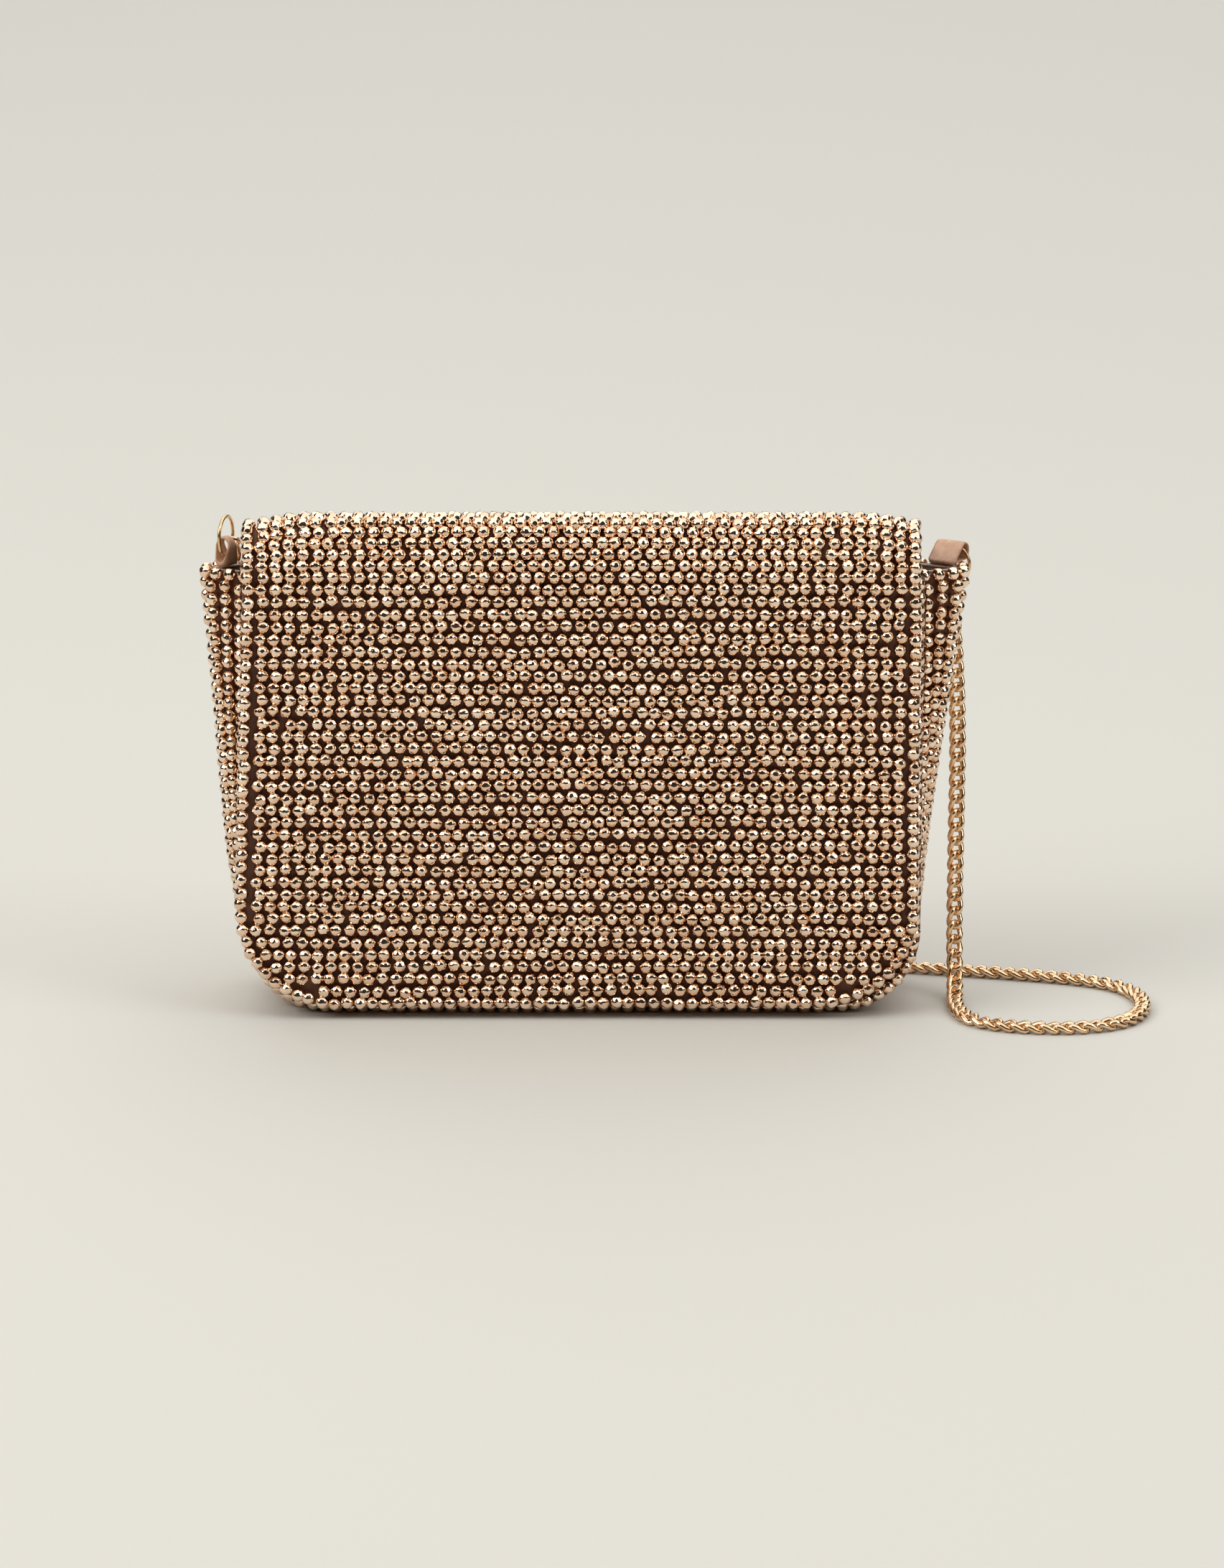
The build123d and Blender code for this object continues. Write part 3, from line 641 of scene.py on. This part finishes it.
def sewBeads(name, centres):
    # copies of one small ball, each turned, sized and toned by chance
    count = len(centres)
    w, x, y, z = unit(chance.normal(size=(count, 4))).T
    turns = np.stack([
        np.stack([1 - 2 * (y * y + z * z), 2 * (x * y - z * w), 2 * (x * z + y * w)], axis=-1),
        np.stack([2 * (x * y + z * w), 1 - 2 * (x * x + z * z), 2 * (y * z - x * w)], axis=-1),
        np.stack([2 * (x * z - y * w), 2 * (y * z + x * w), 1 - 2 * (x * x + y * y)], axis=-1),
    ], axis=1)
    radius = beads["radius"] * (1 + chance.normal(0, beads["sizeSpread"], count))
    points = centres[:, None] + radius[:, None, None] * np.einsum("nij,pj->npi", turns, beadPoints)
    faces = copyFaces(beadFaces, len(beadPoints), count)
    piece = newPiece(name, points.reshape(-1, 3), faces, roseGoldBeads)
    tone = piece.data.attributes.new("tone", "FLOAT", "POINT")
    tone.data.foreach_set("value", np.repeat(chance.uniform(0, 1, count), len(beadPoints)))
    print(name, count, "beads")
    return piece


def rowOfBeads(left, right, row, pitch):
    # beads in even steps; every other row starts and ends a little further in
    gaps = int(round((left + right) / pitch))
    step = (left + right) / gaps
    if row % 2 == 0:
        return -left + step * np.arange(gaps + 1)
    setIn = beads["setIn"] * step
    return np.linspace(-left + setIn, right - setIn, gaps)


def borderLine(bottom, top, halfBottom, halfTop, corner):
    # places down one side, round the corner and along the lower edge to the middle
    edge = beads["edge"]
    inner = corner - edge
    turn = np.linspace(0, np.pi / 2, beads["cornerSteps"])
    line = np.stack([
        np.concatenate([[halfTop - edge], halfBottom - corner + inner * np.cos(turn), [0.0]]),
        np.concatenate([[top], bottom + corner - inner * np.sin(turn), [bottom + edge]]),
    ], axis=-1)
    lengths = lengthsAlong(line)
    count = int(round(lengths[-1] / (beads["rowPitch"] + beads["borderSlack"])))
    places = np.arange(count) * lengths[-1] / (count - 0.5)
    return pointsAt(line, lengths, places)


def rowLimit(height, bottom, top, halfBottom, halfTop, corner):
    # how far out an inner row reaches at this height
    gap = beads["edge"] + beads["columnPitch"]
    limit = halfTop + (halfBottom - halfTop) * (top - height) / (top - bottom) - gap
    drop = bottom + corner - height
    if drop > 0:
        reach = corner - gap + beads["nearBorder"]
        limit = min(limit, halfBottom - corner + math.sqrt(max(reach * reach - drop * drop, 0)))
    return limit


def panelBeads(bottom, top, leftBottom, rightBottom, leftTop, rightTop, corner):
    # a row that follows the edge, and rows inside it; returns x and height
    left = borderLine(bottom, top, leftBottom, leftTop, corner) * np.array([-1, 1])
    right = borderLine(bottom, top, rightBottom, rightTop, corner)
    xs = [left[:, 0], right[:, 0]]
    ys = [left[:, 1], right[:, 1]]
    depth = top - bottom - beads["edge"]
    rows = int(round(depth / beads["rowPitch"]))
    shortLength, shortTurn, longLength, longTurn = beads["wallWave"]
    for row in range(rows):
        height = top - row * depth / rows
        leftLimit = rowLimit(height, bottom, top, leftBottom, leftTop, corner)
        rightLimit = rowLimit(height, bottom, top, rightBottom, rightTop, corner)
        x = rowOfBeads(leftLimit, rightLimit, row, beads["columnPitch"])
        wave = np.sin(x / shortLength + row * shortTurn) * np.sin(x / longLength + row * longTurn)
        xs.append(x)
        ys.append(height + beads["wave"] * wave)
    x = np.concatenate(xs)
    y = np.concatenate(ys)
    x = x + chance.normal(0, beads["jitter"], len(x))
    y = y + chance.normal(0, beads["jitter"], len(y))
    return x, y


def wallBeads(name, base, side, outline, keep=None):
    # beads over an outline on one leaning wall
    x, height = panelBeads(*outline)
    if keep is not None:
        chosen = keep(x, height)
        x, height = x[chosen], height[chosen]
    depth = bag["bead"] / 2 + chance.normal(0, beads["depthSpread"], len(x))
    profile = wallProfile(base, side, depth, height)
    return sewBeads(name, np.column_stack([x, profile]))


def clearOfSnap(x, height):
    return np.hypot(x, height - beads["snapHeight"]) > beads["snapClear"]


panelTop = bag["mouth"] - beads["foldGap"]
frontTop = bag["mouth"] - beads["frontGap"]
flapSides = [flap[side] for side in ("leftBottom", "rightBottom", "leftTop", "rightTop")]
panelSides = [bag["halfWidth"]] * 4
flapOutline = (flap["bottom"], panelTop, *flapSides, flap["corner"])
backOutline = (bag["lift"], panelTop, *panelSides, bag["corner"])
frontOutline = (bag["lift"], frontTop, *panelSides, bag["corner"])
beadsFlapFront = wallBeads("beadsFlapFront", flap["base"], -1, flapOutline)
beadsBack = wallBeads("beadsBack", bag["halfDepthBase"], 1, backOutline)
beadsFront = wallBeads("beadsFront", bag["halfDepthBase"], -1, frontOutline, clearOfSnap)


def archBeads(name):
    # a column at each end and rows between them, from the front fold to the back fold
    usable = archLength - 2 * beads["foldGap"]
    rows = int(round(usable / beads["rowPitch"]))
    left = flap["leftTop"] - beads["edge"]
    right = flap["rightTop"] - beads["edge"]
    pitch = beads["columnPitch"]
    waveLength, waveTurn = beads["archWave"]
    xs, places = [], []
    for row in range(rows + 1):
        x = np.concatenate([[-left], rowOfBeads(left - pitch, right - pitch, row + 1, pitch), [right]])
        wave = beads["wave"] * np.sin(x / waveLength + row * waveTurn)
        xs.append(x)
        places.append(beads["foldGap"] + usable * row / rows + wave * math.sin(math.pi * row / rows))
    x = np.concatenate(xs) + chance.normal(0, beads["jitter"], sum(map(len, xs)))
    place = np.concatenate(places) / archLength
    centres = np.column_stack([x, archProfile(bag["bead"] / 2, place)[0]])
    centres[:, 2] -= archDroop(centres[:, 0], centres[:, 2])
    return sewBeads(name, centres)


beadsFlapTop = archBeads("beadsFlapTop")

# ---- gusset

# the keys -1 and 1 are the left and the right side
gusset = {
    "heights": [-2.0, 28.0, 53.0, 78.0, 104.0, 129.0, 152.0],
    "bulge": {-1: [4.2, 4.8, 8.4, 10.4, 12.0, 14.0, 16.0], 1: [0.3, 0.8, 3.2, 6.2, 9.8, 13.2, 16.8]},
    "ridge": [14.0, 14.0, 13.0, 12.0, 10.5, 9.0, 8.0],
    "cornerX": {-1: 91.8, 1: 87.8},  # where the base ends and the corner starts
    "clearance": 0.1,
}


def gussetPoint(side, path, across, inset):
    # path runs from the middle of the base out to the corner, round it and up to the mouth;
    # across goes from -1 at the front to 1 at the back: straight sides tangent to a rounded ridge
    corner = bag["corner"]
    cornerX = gusset["cornerX"][side]
    cornerLength = corner * math.pi / 2
    turn = np.clip((path - cornerX) / cornerLength, 0, 1) * math.pi / 2
    height = np.maximum(path - cornerX - cornerLength, 0) + corner
    bulge = np.interp(height, gusset["heights"], gusset["bulge"][side])
    ridge = np.interp(height, gusset["heights"], gusset["ridge"])
    baseX = np.clip(path, 0, cornerX) + (corner - inset) * np.sin(turn)
    onSide = path > cornerX + cornerLength
    z = np.where(onSide, height, corner - (corner - inset) * np.cos(turn))
    depthHalf = bag["halfDepthBase"] + (bag["halfDepthMouth"] - bag["halfDepthBase"]) * z / bag["mouth"]
    reach = depthHalf - bag["wall"] - gusset["clearance"]
    centre = bag["halfWidth"] + bulge - ridge
    flare = np.arctan2(reach, bag["halfWidth"] - centre)
    flare = flare - np.arccos(ridge / np.hypot(bag["halfWidth"] - centre, reach))
    radius = ridge - inset
    arcHalf = flare * radius
    straight = (reach - radius * np.sin(flare)) / np.cos(flare)
    place = np.abs(across) * (arcHalf + straight)
    onArc = np.minimum(place, arcHalf)
    beyond = np.maximum(place - arcHalf, 0)
    ridgeX = centre + radius * np.cos(onArc / radius) - beyond * np.sin(flare)
    ridgeY = radius * np.sin(onArc / radius) + beyond * np.cos(flare)
    inwards = (centre + radius - ridgeX) * smoothStep(turn / (math.pi / 2))
    x = side * np.where(onSide, ridgeX, baseX - inwards)
    y = np.sign(across) * np.where(onSide, ridgeY, np.abs(across) * reach)
    return np.stack([x, y, z], axis=-1)


def gussetLength(side):
    # from the middle of the base round the corner to the mouth
    return gusset["cornerX"][side] + bag["corner"] * math.pi / 2 + bag["mouth"] - bag["corner"]


def gussetBeads(name):
    # columns up each side and a close row along each end of the mouth
    centres = []
    columns = beads["gussetColumns"]
    for side in (-1, 1):
        top = gussetLength(side) - beads["mouthRow"] - beads["gussetPitch"] * beads["topGap"]
        rows = int(round(top / beads["gussetPitch"]))
        for column in range(columns):
            across = ((2 * column + 1) / columns - 1) * beads["gussetSpan"]
            shift = beads["shift"] * (column % 2)
            first = 1 if shift or side < 0 else 0
            path = (np.arange(first, rows + 1) - shift) * top / (rows - beads["stretch"] * shift)
            path = path + chance.normal(0, beads["jitter"], len(path))
            centres.append(gussetPoint(side, path, np.full(len(path), across), bag["bead"] / 2))
        along = np.linspace(-beads["mouthSpan"], beads["mouthSpan"], beads["mouthBeads"])
        mouth = np.full(len(along), gussetLength(side) - beads["mouthRow"])
        centres.append(gussetPoint(side, mouth, along, bag["bead"] / 2))
    return sewBeads(name, np.vstack(centres))


beadsGusset = gussetBeads("beadsGusset")

# ---- cloth

cloth = {
    "middleSteps": 61, "rimSteps": 5, "cornerSteps": 16, "rowStep": 1.6, "frontStep": 2.4,
    "shortOfFold": 0.5, "shortOfMouth": 0.3,
    "foldShare": 0.004,  # of the arch's length, left open at each fold
    "paddingShare": 0.012, "archRows": 34,
    "flare": 3.0,  # how quickly the back cloth widens to the ridge's width
    "gussetAcross": 25, "baseSteps": 30, "sideSteps": 90, "paddingShort": 1.6, "hollow": 0.05,
    "shortWaves": (3.1, 7.3, 2.7), "longWave": (17.0, 11.0), "longShare": 0.6,
}
# margin: short of the edge; bottom: height of the foot; extra: thickness of the turned-in rim
flapSatin = {"margin": 0.0, "extra": 1.3}
flapLining = {"margin": 1.5, "extra": 0.0}
panelSatin = {"margin": -0.3, "bottom": 0.3, "extra": 1.2}
panelLining = {"margin": 1.5, "bottom": bag["wall"], "extra": 0.0}


def ripple(x, place):
    # small uneven hollows, as where thread pulls cloth down between beads: short waves and a long one
    first, second, third = cloth["shortWaves"]
    short = np.sin(x / first + place / second) * np.sin(place / third)
    wide, high = cloth["longWave"]
    return cloth["hollow"] * (short + cloth["longShare"] * np.sin(x / wide + place / high))


def panelSide(height, bottom, halfBottom, halfTop, corner, top):
    # how far out a side is at a height: a tapered edge and a rounded lower corner
    half = halfTop + (halfBottom - halfTop) * (top - height) / (top - bottom)
    drop = np.clip(bottom + corner - height, 0, corner)
    return half - corner + np.sqrt(np.maximum(corner * corner - drop * drop, 0))


def acrossValues(half, rim):
    # places across a half width of 1, closer together over the turned-in rim
    share = rim / half
    middle = np.linspace(-1 + share, 1 - share, cloth["middleSteps"])
    edge = np.linspace(0, share, cloth["rimSteps"])[:-1]
    return np.concatenate([-1 + edge, middle, (1 - edge)[::-1]])


def cornerHeights(bottom, corner, top, step):
    # heights close together where the lower corners turn
    turn = np.linspace(0, np.pi / 2, cloth["cornerSteps"])
    low = bottom + corner * (1 - np.cos(turn))
    count = int((top - bottom - corner) / step)
    return np.concatenate([low, np.linspace(bottom + corner, top, count)[1:]])


def clothAlong(name, profiles, sides, across, edge, insets, material):
    # carries the outer and the inner side view across the width, from the left side to the right
    outerProfile, innerProfile = profiles
    left, right = sides
    x = np.where(across[None, :] < 0, across[None, :] * left[:, None], across[None, :] * right[:, None])
    through = unit(innerProfile - outerProfile)
    depth = ripple(x, lengthsAlong(outerProfile)[:, None])
    thick = np.broadcast_to((insets[1] - insets[0]) + edge, x.shape)
    outerYz = outerProfile[:, None] + through[:, None] * depth[..., None]
    innerYz = outerYz + through[:, None] * thick[..., None]
    outerGrid = np.concatenate([x[..., None], outerYz], axis=-1)
    innerGrid = np.concatenate([x[..., None], innerYz], axis=-1)
    for grid in (outerGrid, innerGrid):
        grid[..., 2] -= archDroop(grid[..., 0], grid[..., 2])
    return clothShell(name, outerGrid, innerGrid, material)


def rimThickness(sides, across, rise, extra):
    # the cloth is thicker over the rim, where it is turned in; rise is the distance from the lower edge
    half = (sides[0] + sides[1]) / 2
    nearest = np.minimum(half[:, None] * (1 - np.abs(across))[None, :], rise[:, None])
    return extra * smoothStep(1 - nearest / flap["rim"])


def wrapCloth(name, wall, insets, material, rows, shares, sides, half, extra):
    # up a leaning wall, over its fold and along the arch to the ridge; rows are heights on the wall
    profiles = []
    for inset in insets:
        panel = wallProfile(*wall, inset, rows)
        profiles.append(np.vstack([panel, archProfile(inset, shares)[0]]))
    across = acrossValues(half, flap["rim"])
    rise = np.concatenate([rows - rows[0], np.full(len(shares), bag["mouth"])])
    edge = rimThickness(sides, across, rise, extra)
    return clothAlong(name, profiles, sides, across, edge, insets, material)


def flapCloth(name, insets, material, margin, extra):
    # from the lower edge of the flap up its front, over the fold and on to the ridge
    bottom = flap["bottom"] + margin
    corner = flap["corner"] - margin
    heights = cornerHeights(bottom, corner, bag["mouth"] - cloth["shortOfFold"], cloth["rowStep"])
    shares = np.linspace(cloth["foldShare"], ridgeShare, cloth["archRows"])
    sides = []
    for hand in ("left", "right"):
        top = flap[hand + "Top"] - margin
        side = panelSide(heights, bottom, flap[hand + "Bottom"] - margin, top, corner, bag["mouth"])
        sides.append(np.concatenate([side, np.full(len(shares), top)]))
    wall = (flap["base"], -1)
    return wrapCloth(name, wall, insets, material, heights, shares, sides, flap["leftTop"], extra)


def rearCloth(name, insets, material, margin, bottom, extra):
    # from the foot of the back panel up over the back fold to the ridge
    corner = bag["corner"] - margin
    half = bag["halfWidth"] - margin
    heights = cornerHeights(bottom, corner, bag["mouth"] - cloth["shortOfFold"], cloth["rowStep"])
    shares = np.linspace(1 - cloth["foldShare"], ridgeShare, cloth["archRows"])
    panel = panelSide(heights, bottom, half, half, corner, bag["mouth"])
    widening = smoothStep(np.linspace(0, 1, len(shares)) * cloth["flare"])
    sides = []
    for hand in ("left", "right"):
        end = flap[hand + "Top"] - max(margin, 0)
        sides.append(np.concatenate([panel, half + (end - half) * widening]))
    wall = (bag["halfDepthBase"], 1)
    return wrapCloth(name, wall, insets, material, heights, shares, sides, half, extra)


def frontCloth(name, insets, material, margin, bottom, extra):
    # over the front panel, from its foot to just under the mouth
    corner = bag["corner"] - margin
    half = bag["halfWidth"] - margin
    heights = cornerHeights(bottom, corner, bag["mouth"] - cloth["shortOfMouth"], cloth["frontStep"])
    profiles = [wallProfile(bag["halfDepthBase"], -1, inset, heights) for inset in insets]
    side = panelSide(heights, bottom, half, half, corner, bag["mouth"])
    across = acrossValues(half, flap["rim"])
    edge = rimThickness((side, side), across, heights - bottom, extra)
    return clothAlong(name, profiles, (side, side), across, edge, insets, material)


def archPadding(name, insets, material, margin):
    # the soft sheet inside the arch, short of both folds
    shares = np.linspace(cloth["paddingShare"], 1 - cloth["paddingShare"], 2 * cloth["archRows"])
    profiles = [archProfile(inset, shares)[0] for inset in insets]
    sides = [np.full(len(shares), flap[hand + "Top"] - margin) for hand in ("left", "right")]
    across = acrossValues(flap["leftTop"], flap["rim"])
    edge = rimThickness(sides, across, np.full(len(shares), bag["mouth"]), 0.0)
    return clothAlong(name, profiles, sides, across, edge, insets, material)


# the outer satin pieces carry the satin colour darkened as painted shade for the gaps between the beads
satinFlap = flapCloth("satinFlap", bag["satin"], copperSatinPaintedShade, **flapSatin)
satinRear = rearCloth("satinRear", bag["satin"], copperSatinPaintedShade, **panelSatin)
satinFront = frontCloth("satinFront", bag["satin"], copperSatinPaintedShade, **panelSatin)
liningFlap = flapCloth("liningFlap", bag["lining"], liningSatin, **flapLining)
liningRear = rearCloth("liningRear", bag["lining"], liningSatin, **panelLining)
liningFront = frontCloth("liningFront", bag["lining"], liningSatin, **panelLining)
paddingTop = archPadding("paddingTop", bag["padding"], paleFelt, cloth["paddingShort"])


def gussetCloth(name, insets, material):
    # a strip from the left end of the mouth, under the base, to the right end
    across = np.linspace(-1, 1, cloth["gussetAcross"])
    grids = []
    for inset in insets:
        halves = []
        for side in (-1, 1):
            cornerX = gusset["cornerX"][side]
            base = np.linspace(0, cornerX, cloth["baseSteps"])[:-1]
            path = np.concatenate([base, np.linspace(cornerX, gussetLength(side), cloth["sideSteps"])])
            halves.append(gussetPoint(side, *np.meshgrid(path, across, indexing="ij"), inset))
        grids.append(np.concatenate([halves[0][:0:-1], halves[1]]))
    return clothShell(name, grids[0], grids[1], material)


satinGusset = gussetCloth("satinGusset", bag["satin"], copperSatinPaintedShade)
liningGusset = gussetCloth("liningGusset", bag["lining"], liningSatin)

binding = {
    "inset": 5.4, "halfWidth": 1.1, "halfHeight": 0.6, "sink": 0.6, "around": 12,
    "backEnd": 0.98,  # where it ends at the back, across the gusset
    "sideSteps": 40, "frontSteps": 90, "cornerGap": 0.8,
    "tip": 0.02,  # its two ends are drawn in to this share of its thickness
    "weave": 1.2,
}


def mouthBinding(name, settings):
    # an oval rope of folded satin along the mouth: up each gusset edge and across the front
    across = np.linspace(settings["backEnd"], -1, settings["sideSteps"])
    ends = []
    for side in (-1, 1):
        path = np.full(len(across), gussetLength(side))
        ends.append(gussetPoint(side, path, across, settings["inset"]))
    left, right = ends[0][::-1], ends[1]
    gap = settings["cornerGap"]
    x = np.linspace(right[-1, 0] - gap, left[0, 0] + gap, settings["frontSteps"])
    frontY = -bag["halfDepthMouth"] + settings["inset"]
    front = np.stack([x, np.full(len(x), frontY), np.full(len(x), bag["mouth"])], axis=-1)
    route = np.concatenate([right, front, left]) - np.array([0, 0, settings["sink"]])
    tangent = unit(np.gradient(route, axis=0))
    sideways = unit(np.cross(tangent, [0.0, 0.0, 1.0]))
    roll = fullTurn(settings["around"])
    taper = np.ones(len(route))
    taper[[0, -1]] = settings["tip"]
    ring = around(roll, sideways * settings["halfWidth"], np.array([[0, 0, settings["halfHeight"]]]))
    points = route[:, None] + ring * taper[:, None, None]
    faces = gridFaces(len(route), len(roll), False, True)
    piece = newPiece(name, points.reshape(-1, 3), faces, copperSatinPaintedShade)
    pointOutwards(piece, closeEnds=True)
    along = np.repeat(lengthsAlong(route), len(roll))
    addUv(piece, along, np.tile(roll * settings["weave"], len(route)))
    return piece


bindingMouth = mouthBinding("bindingMouth", binding)

pocket = {
    "halfWidth": 65.0, "bottom": 35.0, "top": 108.0, "start": 6.45, "thickness": 0.45,
    "fullness": 0.9,  # how far the pocket stands off the lining in its middle
    "hem": (0.35, 7.0, 0.8),  # extra thickness, height, height of the step into it
    "steps": (50, 61),
}


def slipPocket(name, settings):
    # a flat pouch, open at the top, that stands off the back lining
    rows, columns = settings["steps"]
    heights = np.linspace(settings["bottom"], settings["top"], rows)
    across = np.linspace(-1, 1, columns)
    rise = (heights - settings["bottom"]) / (settings["top"] - settings["bottom"])
    stand = settings["fullness"] * np.sqrt(rise)[:, None] * (1 - across**4)[None, :]
    hemThickness, hemHeight, hemStep = settings["hem"]
    hem = hemThickness * smoothStep((heights - settings["top"] + hemHeight) / hemStep)
    hem = hem[:, None] * (1 - across**8)[None, :]
    grids = []
    for extra in (stand, stand + settings["thickness"] + hem):
        inset = settings["start"] + extra
        height = np.broadcast_to(heights[:, None], inset.shape)
        profile = wallProfile(bag["halfDepthBase"], 1, inset, height)
        x = np.broadcast_to(across * settings["halfWidth"], inset.shape)
        grids.append(np.concatenate([x[..., None], profile], axis=-1))
    return clothShell(name, grids[1], grids[0], liningSatin)


pocketPiece = slipPocket("slipPocket", pocket)
print("cloth made")

# ---- tabs

# each loop is stretched round two circles: sideways place, height, radius
tabs = {
    "tabRight": {
        "origin": (126.0, 10.8, 152.1),
        "heading": -30.0,
        "width": 10.4,
        "outer": [(-8.2, 1.0, 1.0), (-0.5, 3.8, 3.3)],
        "inner": [(-6.0, 1.9, 0.5), (-0.5, 3.85, 2.62)],
        "pinch": 0.0,
        "node": "tab_right",
    },
    "tabLeft": {
        "origin": (-121.6, 0.0, 152.1),
        "heading": -128.0,
        "width": 7.8,
        "outer": [(0.0, 2.7, 2.4), (0.0, 7.6, 3.3)],
        "inner": [(0.0, 4.0, 1.7), (0.0, 7.6, 2.5)],
        "pinch": 0.62,
        "node": "tab_left",
    },
}
tabWork = {
    "height": 11.0,  # a pinched tab is narrowest here
    "around": 56, "across": 15, "turnSteps": 400,
    "fineness": 40,  # points tried for the inner loop, for each one of the outer
    "fall": 0.75,  # how much thinner the face gets towards its edges
    "pleat": 0.07, "pleats": 9.0, "weave": 0.5,
}


def stretchedLoop(circles, count):
    # the line of a band stretched round two circles, in even steps along it
    turn = np.linspace(0, 2 * np.pi, tabWork["turnSteps"], endpoint=False)
    facing = np.stack([np.cos(turn), np.sin(turn)], axis=-1)
    centres = np.array([circle[:2] for circle in circles])
    radii = np.array([circle[2] for circle in circles])
    reach = facing @ centres.T + radii
    chosen = reach.argmax(axis=1)
    line = centres[chosen] + radii[chosen][:, None] * facing
    closed = np.vstack([line, line[:1]])
    lengths = lengthsAlong(closed)
    return pointsAt(closed, lengths, np.arange(count) * lengths[-1] / count)


def satinTab(name, settings):
    # a wide loop of folded satin: its section runs out along the face, round the hem and back inside
    steps = tabWork["around"]
    outer = stretchedLoop(settings["outer"], steps)
    fine = stretchedLoop(settings["inner"], tabWork["fineness"] * steps)
    inner = fine[np.linalg.norm(outer[:, None] - fine[None], axis=-1).argmin(axis=1)]
    half = settings["width"] / 2
    there = np.linspace(-1, 1, tabWork["across"])
    across = np.concatenate([there, there[::-1]])
    face = np.concatenate([np.sqrt(1 - tabWork["fall"] * there**8), np.zeros(len(there))])
    grid = inner[:, None] + (outer - inner)[:, None] * face[None, :, None]
    pleat = tabWork["pleat"] * np.sin(across * tabWork["pleats"])[None, :, None] * (face > 0)[None, :, None]
    grid = grid - (outer - inner)[:, None] * np.abs(pleat)
    heading = math.radians(settings["heading"])
    along = np.array([math.cos(heading), math.sin(heading), 0])
    sideways = np.array([-along[1], along[0], 0])
    up = np.array([0.0, 0.0, 1.0])
    narrow = 1 - settings["pinch"] * smoothStep(grid[..., 1:] / tabWork["height"])
    points = (np.array(settings["origin"]) + grid[..., :1] * sideways + grid[..., 1:] * up
              + (across * half)[None, :, None] * narrow * along)
    piece = newPiece(name, points.reshape(-1, 3), gridFaces(steps, len(across), True, True), tabSatin)
    place = np.repeat(np.arange(steps) * tabWork["weave"], len(across))
    addUv(piece, place, np.tile(across * half, steps))
    pointOutwards(piece)
    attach(piece, "bag_body")
    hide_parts(settings["node"])


for tabName, tabSettings in tabs.items():
    satinTab(tabName, tabSettings)

# ---- how the pieces move and what they stand for


def bend(piece):
    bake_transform(piece)


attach(beadsFlapFront, "flap_front")
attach(beadsFlapTop, "flap_top")
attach(paddingTop, "flap_top")
for piece in (beadsFront, beadsBack, beadsGusset, satinFront, satinGusset, liningFront, liningGusset,
              bindingMouth, pocketPiece, chainStrap, ribbon):
    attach(piece, "bag_body")
bend(satinFlap)
bend(liningFlap)
bend(satinRear)
bend(liningRear)
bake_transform(chainDrop)

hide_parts("flap_front_beadwork")
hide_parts("flap_top_beadwork")
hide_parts("front_beadwork")
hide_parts("back_beadwork")
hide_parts("gusset_beadwork")
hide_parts("flap_front_satin")
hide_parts("back_satin", "flap_top_satin")
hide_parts("front_satin")
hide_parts("gusset_satin")
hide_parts("flap_front_lining")
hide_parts("flap_top_padding")
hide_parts("flap_top_lining")
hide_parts("lining")
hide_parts("slip_pocket")
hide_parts("chain_drop")
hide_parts("chain_strap", "chain_hank", "chain_rise")
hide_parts("chain_tie")

# ---- floor and light

studio = {
    "floorColour": (0.65, 0.637, 0.588), "worldColour": (0.035, 0.03, 0.027), "floorFront": -4.0,
    "floorBack": 6.5, "bend": 0.8, "wallTop": 3.0, "halfWidth": 5.0,
}


def paperSweep(settings):
    # floor that turns up into a wall through a quarter circle
    turn = np.linspace(0, np.pi / 2, 16)
    y = np.concatenate([[settings["floorFront"]], settings["floorBack"] + settings["bend"] * np.sin(turn)])
    z = np.concatenate([[0.0], settings["bend"] * (1 - np.cos(turn))])
    y = np.append(y, settings["floorBack"] + settings["bend"])
    z = np.append(z, settings["wallTop"])
    x = np.tile([-settings["halfWidth"], settings["halfWidth"]], len(y))
    points = np.stack([x, np.repeat(y, 2), np.repeat(z, 2)], axis=-1)
    paper = mattFinish("palePaper", settings["floorColour"], settings["floorColour"], 400.0, 0.95)
    floor = newPiece("floor", points / millimetre, gridFaces(len(y), 2), paper)


middle = (0.0, 0.0, 0.08)
lamps = [
    {"name": "keyLeft", "place": (-2.0, -1.1, 1.7), "aim": middle, "width": 1.7, "height": 1.3,
     "power": 34.0, "colour": (1.0, 0.985, 0.96)},
    {"name": "overhead", "place": (0.0, 2.6, 3.0), "aim": (0.0, 2.6, 0.0), "width": 6.0, "height": 9.8,
     "power": 262.0, "colour": (1.0, 0.995, 0.98)},
    {"name": "fillRight", "place": (2.0, -1.0, 1.3), "aim": middle, "width": 1.2, "height": 1.2,
     "power": 13.0, "colour": (1.0, 0.98, 0.96)},
]


def softbox(name, place, aim, width, height, power, colour):
    data = bpy.data.lights.new(name, "AREA")
    data.shape = "RECTANGLE"
    data.size = width
    data.size_y = height
    data.energy = power
    data.color = colour
    lamp = bpy.data.objects.new(name, data)
    lamp.location = place
    lamp.rotation_euler = (Vector(place) - Vector(aim)).to_track_quat("Z", "Y").to_euler()
    bpy.context.scene.collection.objects.link(lamp)


paperSweep(studio)
world = bpy.data.worlds.new("studio")
world.use_nodes = True
world.node_tree.nodes["Background"].inputs["Color"].default_value = (*studio["worldColour"], 1)
bpy.context.scene.world = world
bpy.context.scene.view_settings.view_transform = "Standard"
for lampSettings in lamps:
    softbox(**lampSettings)

print("scene ready")
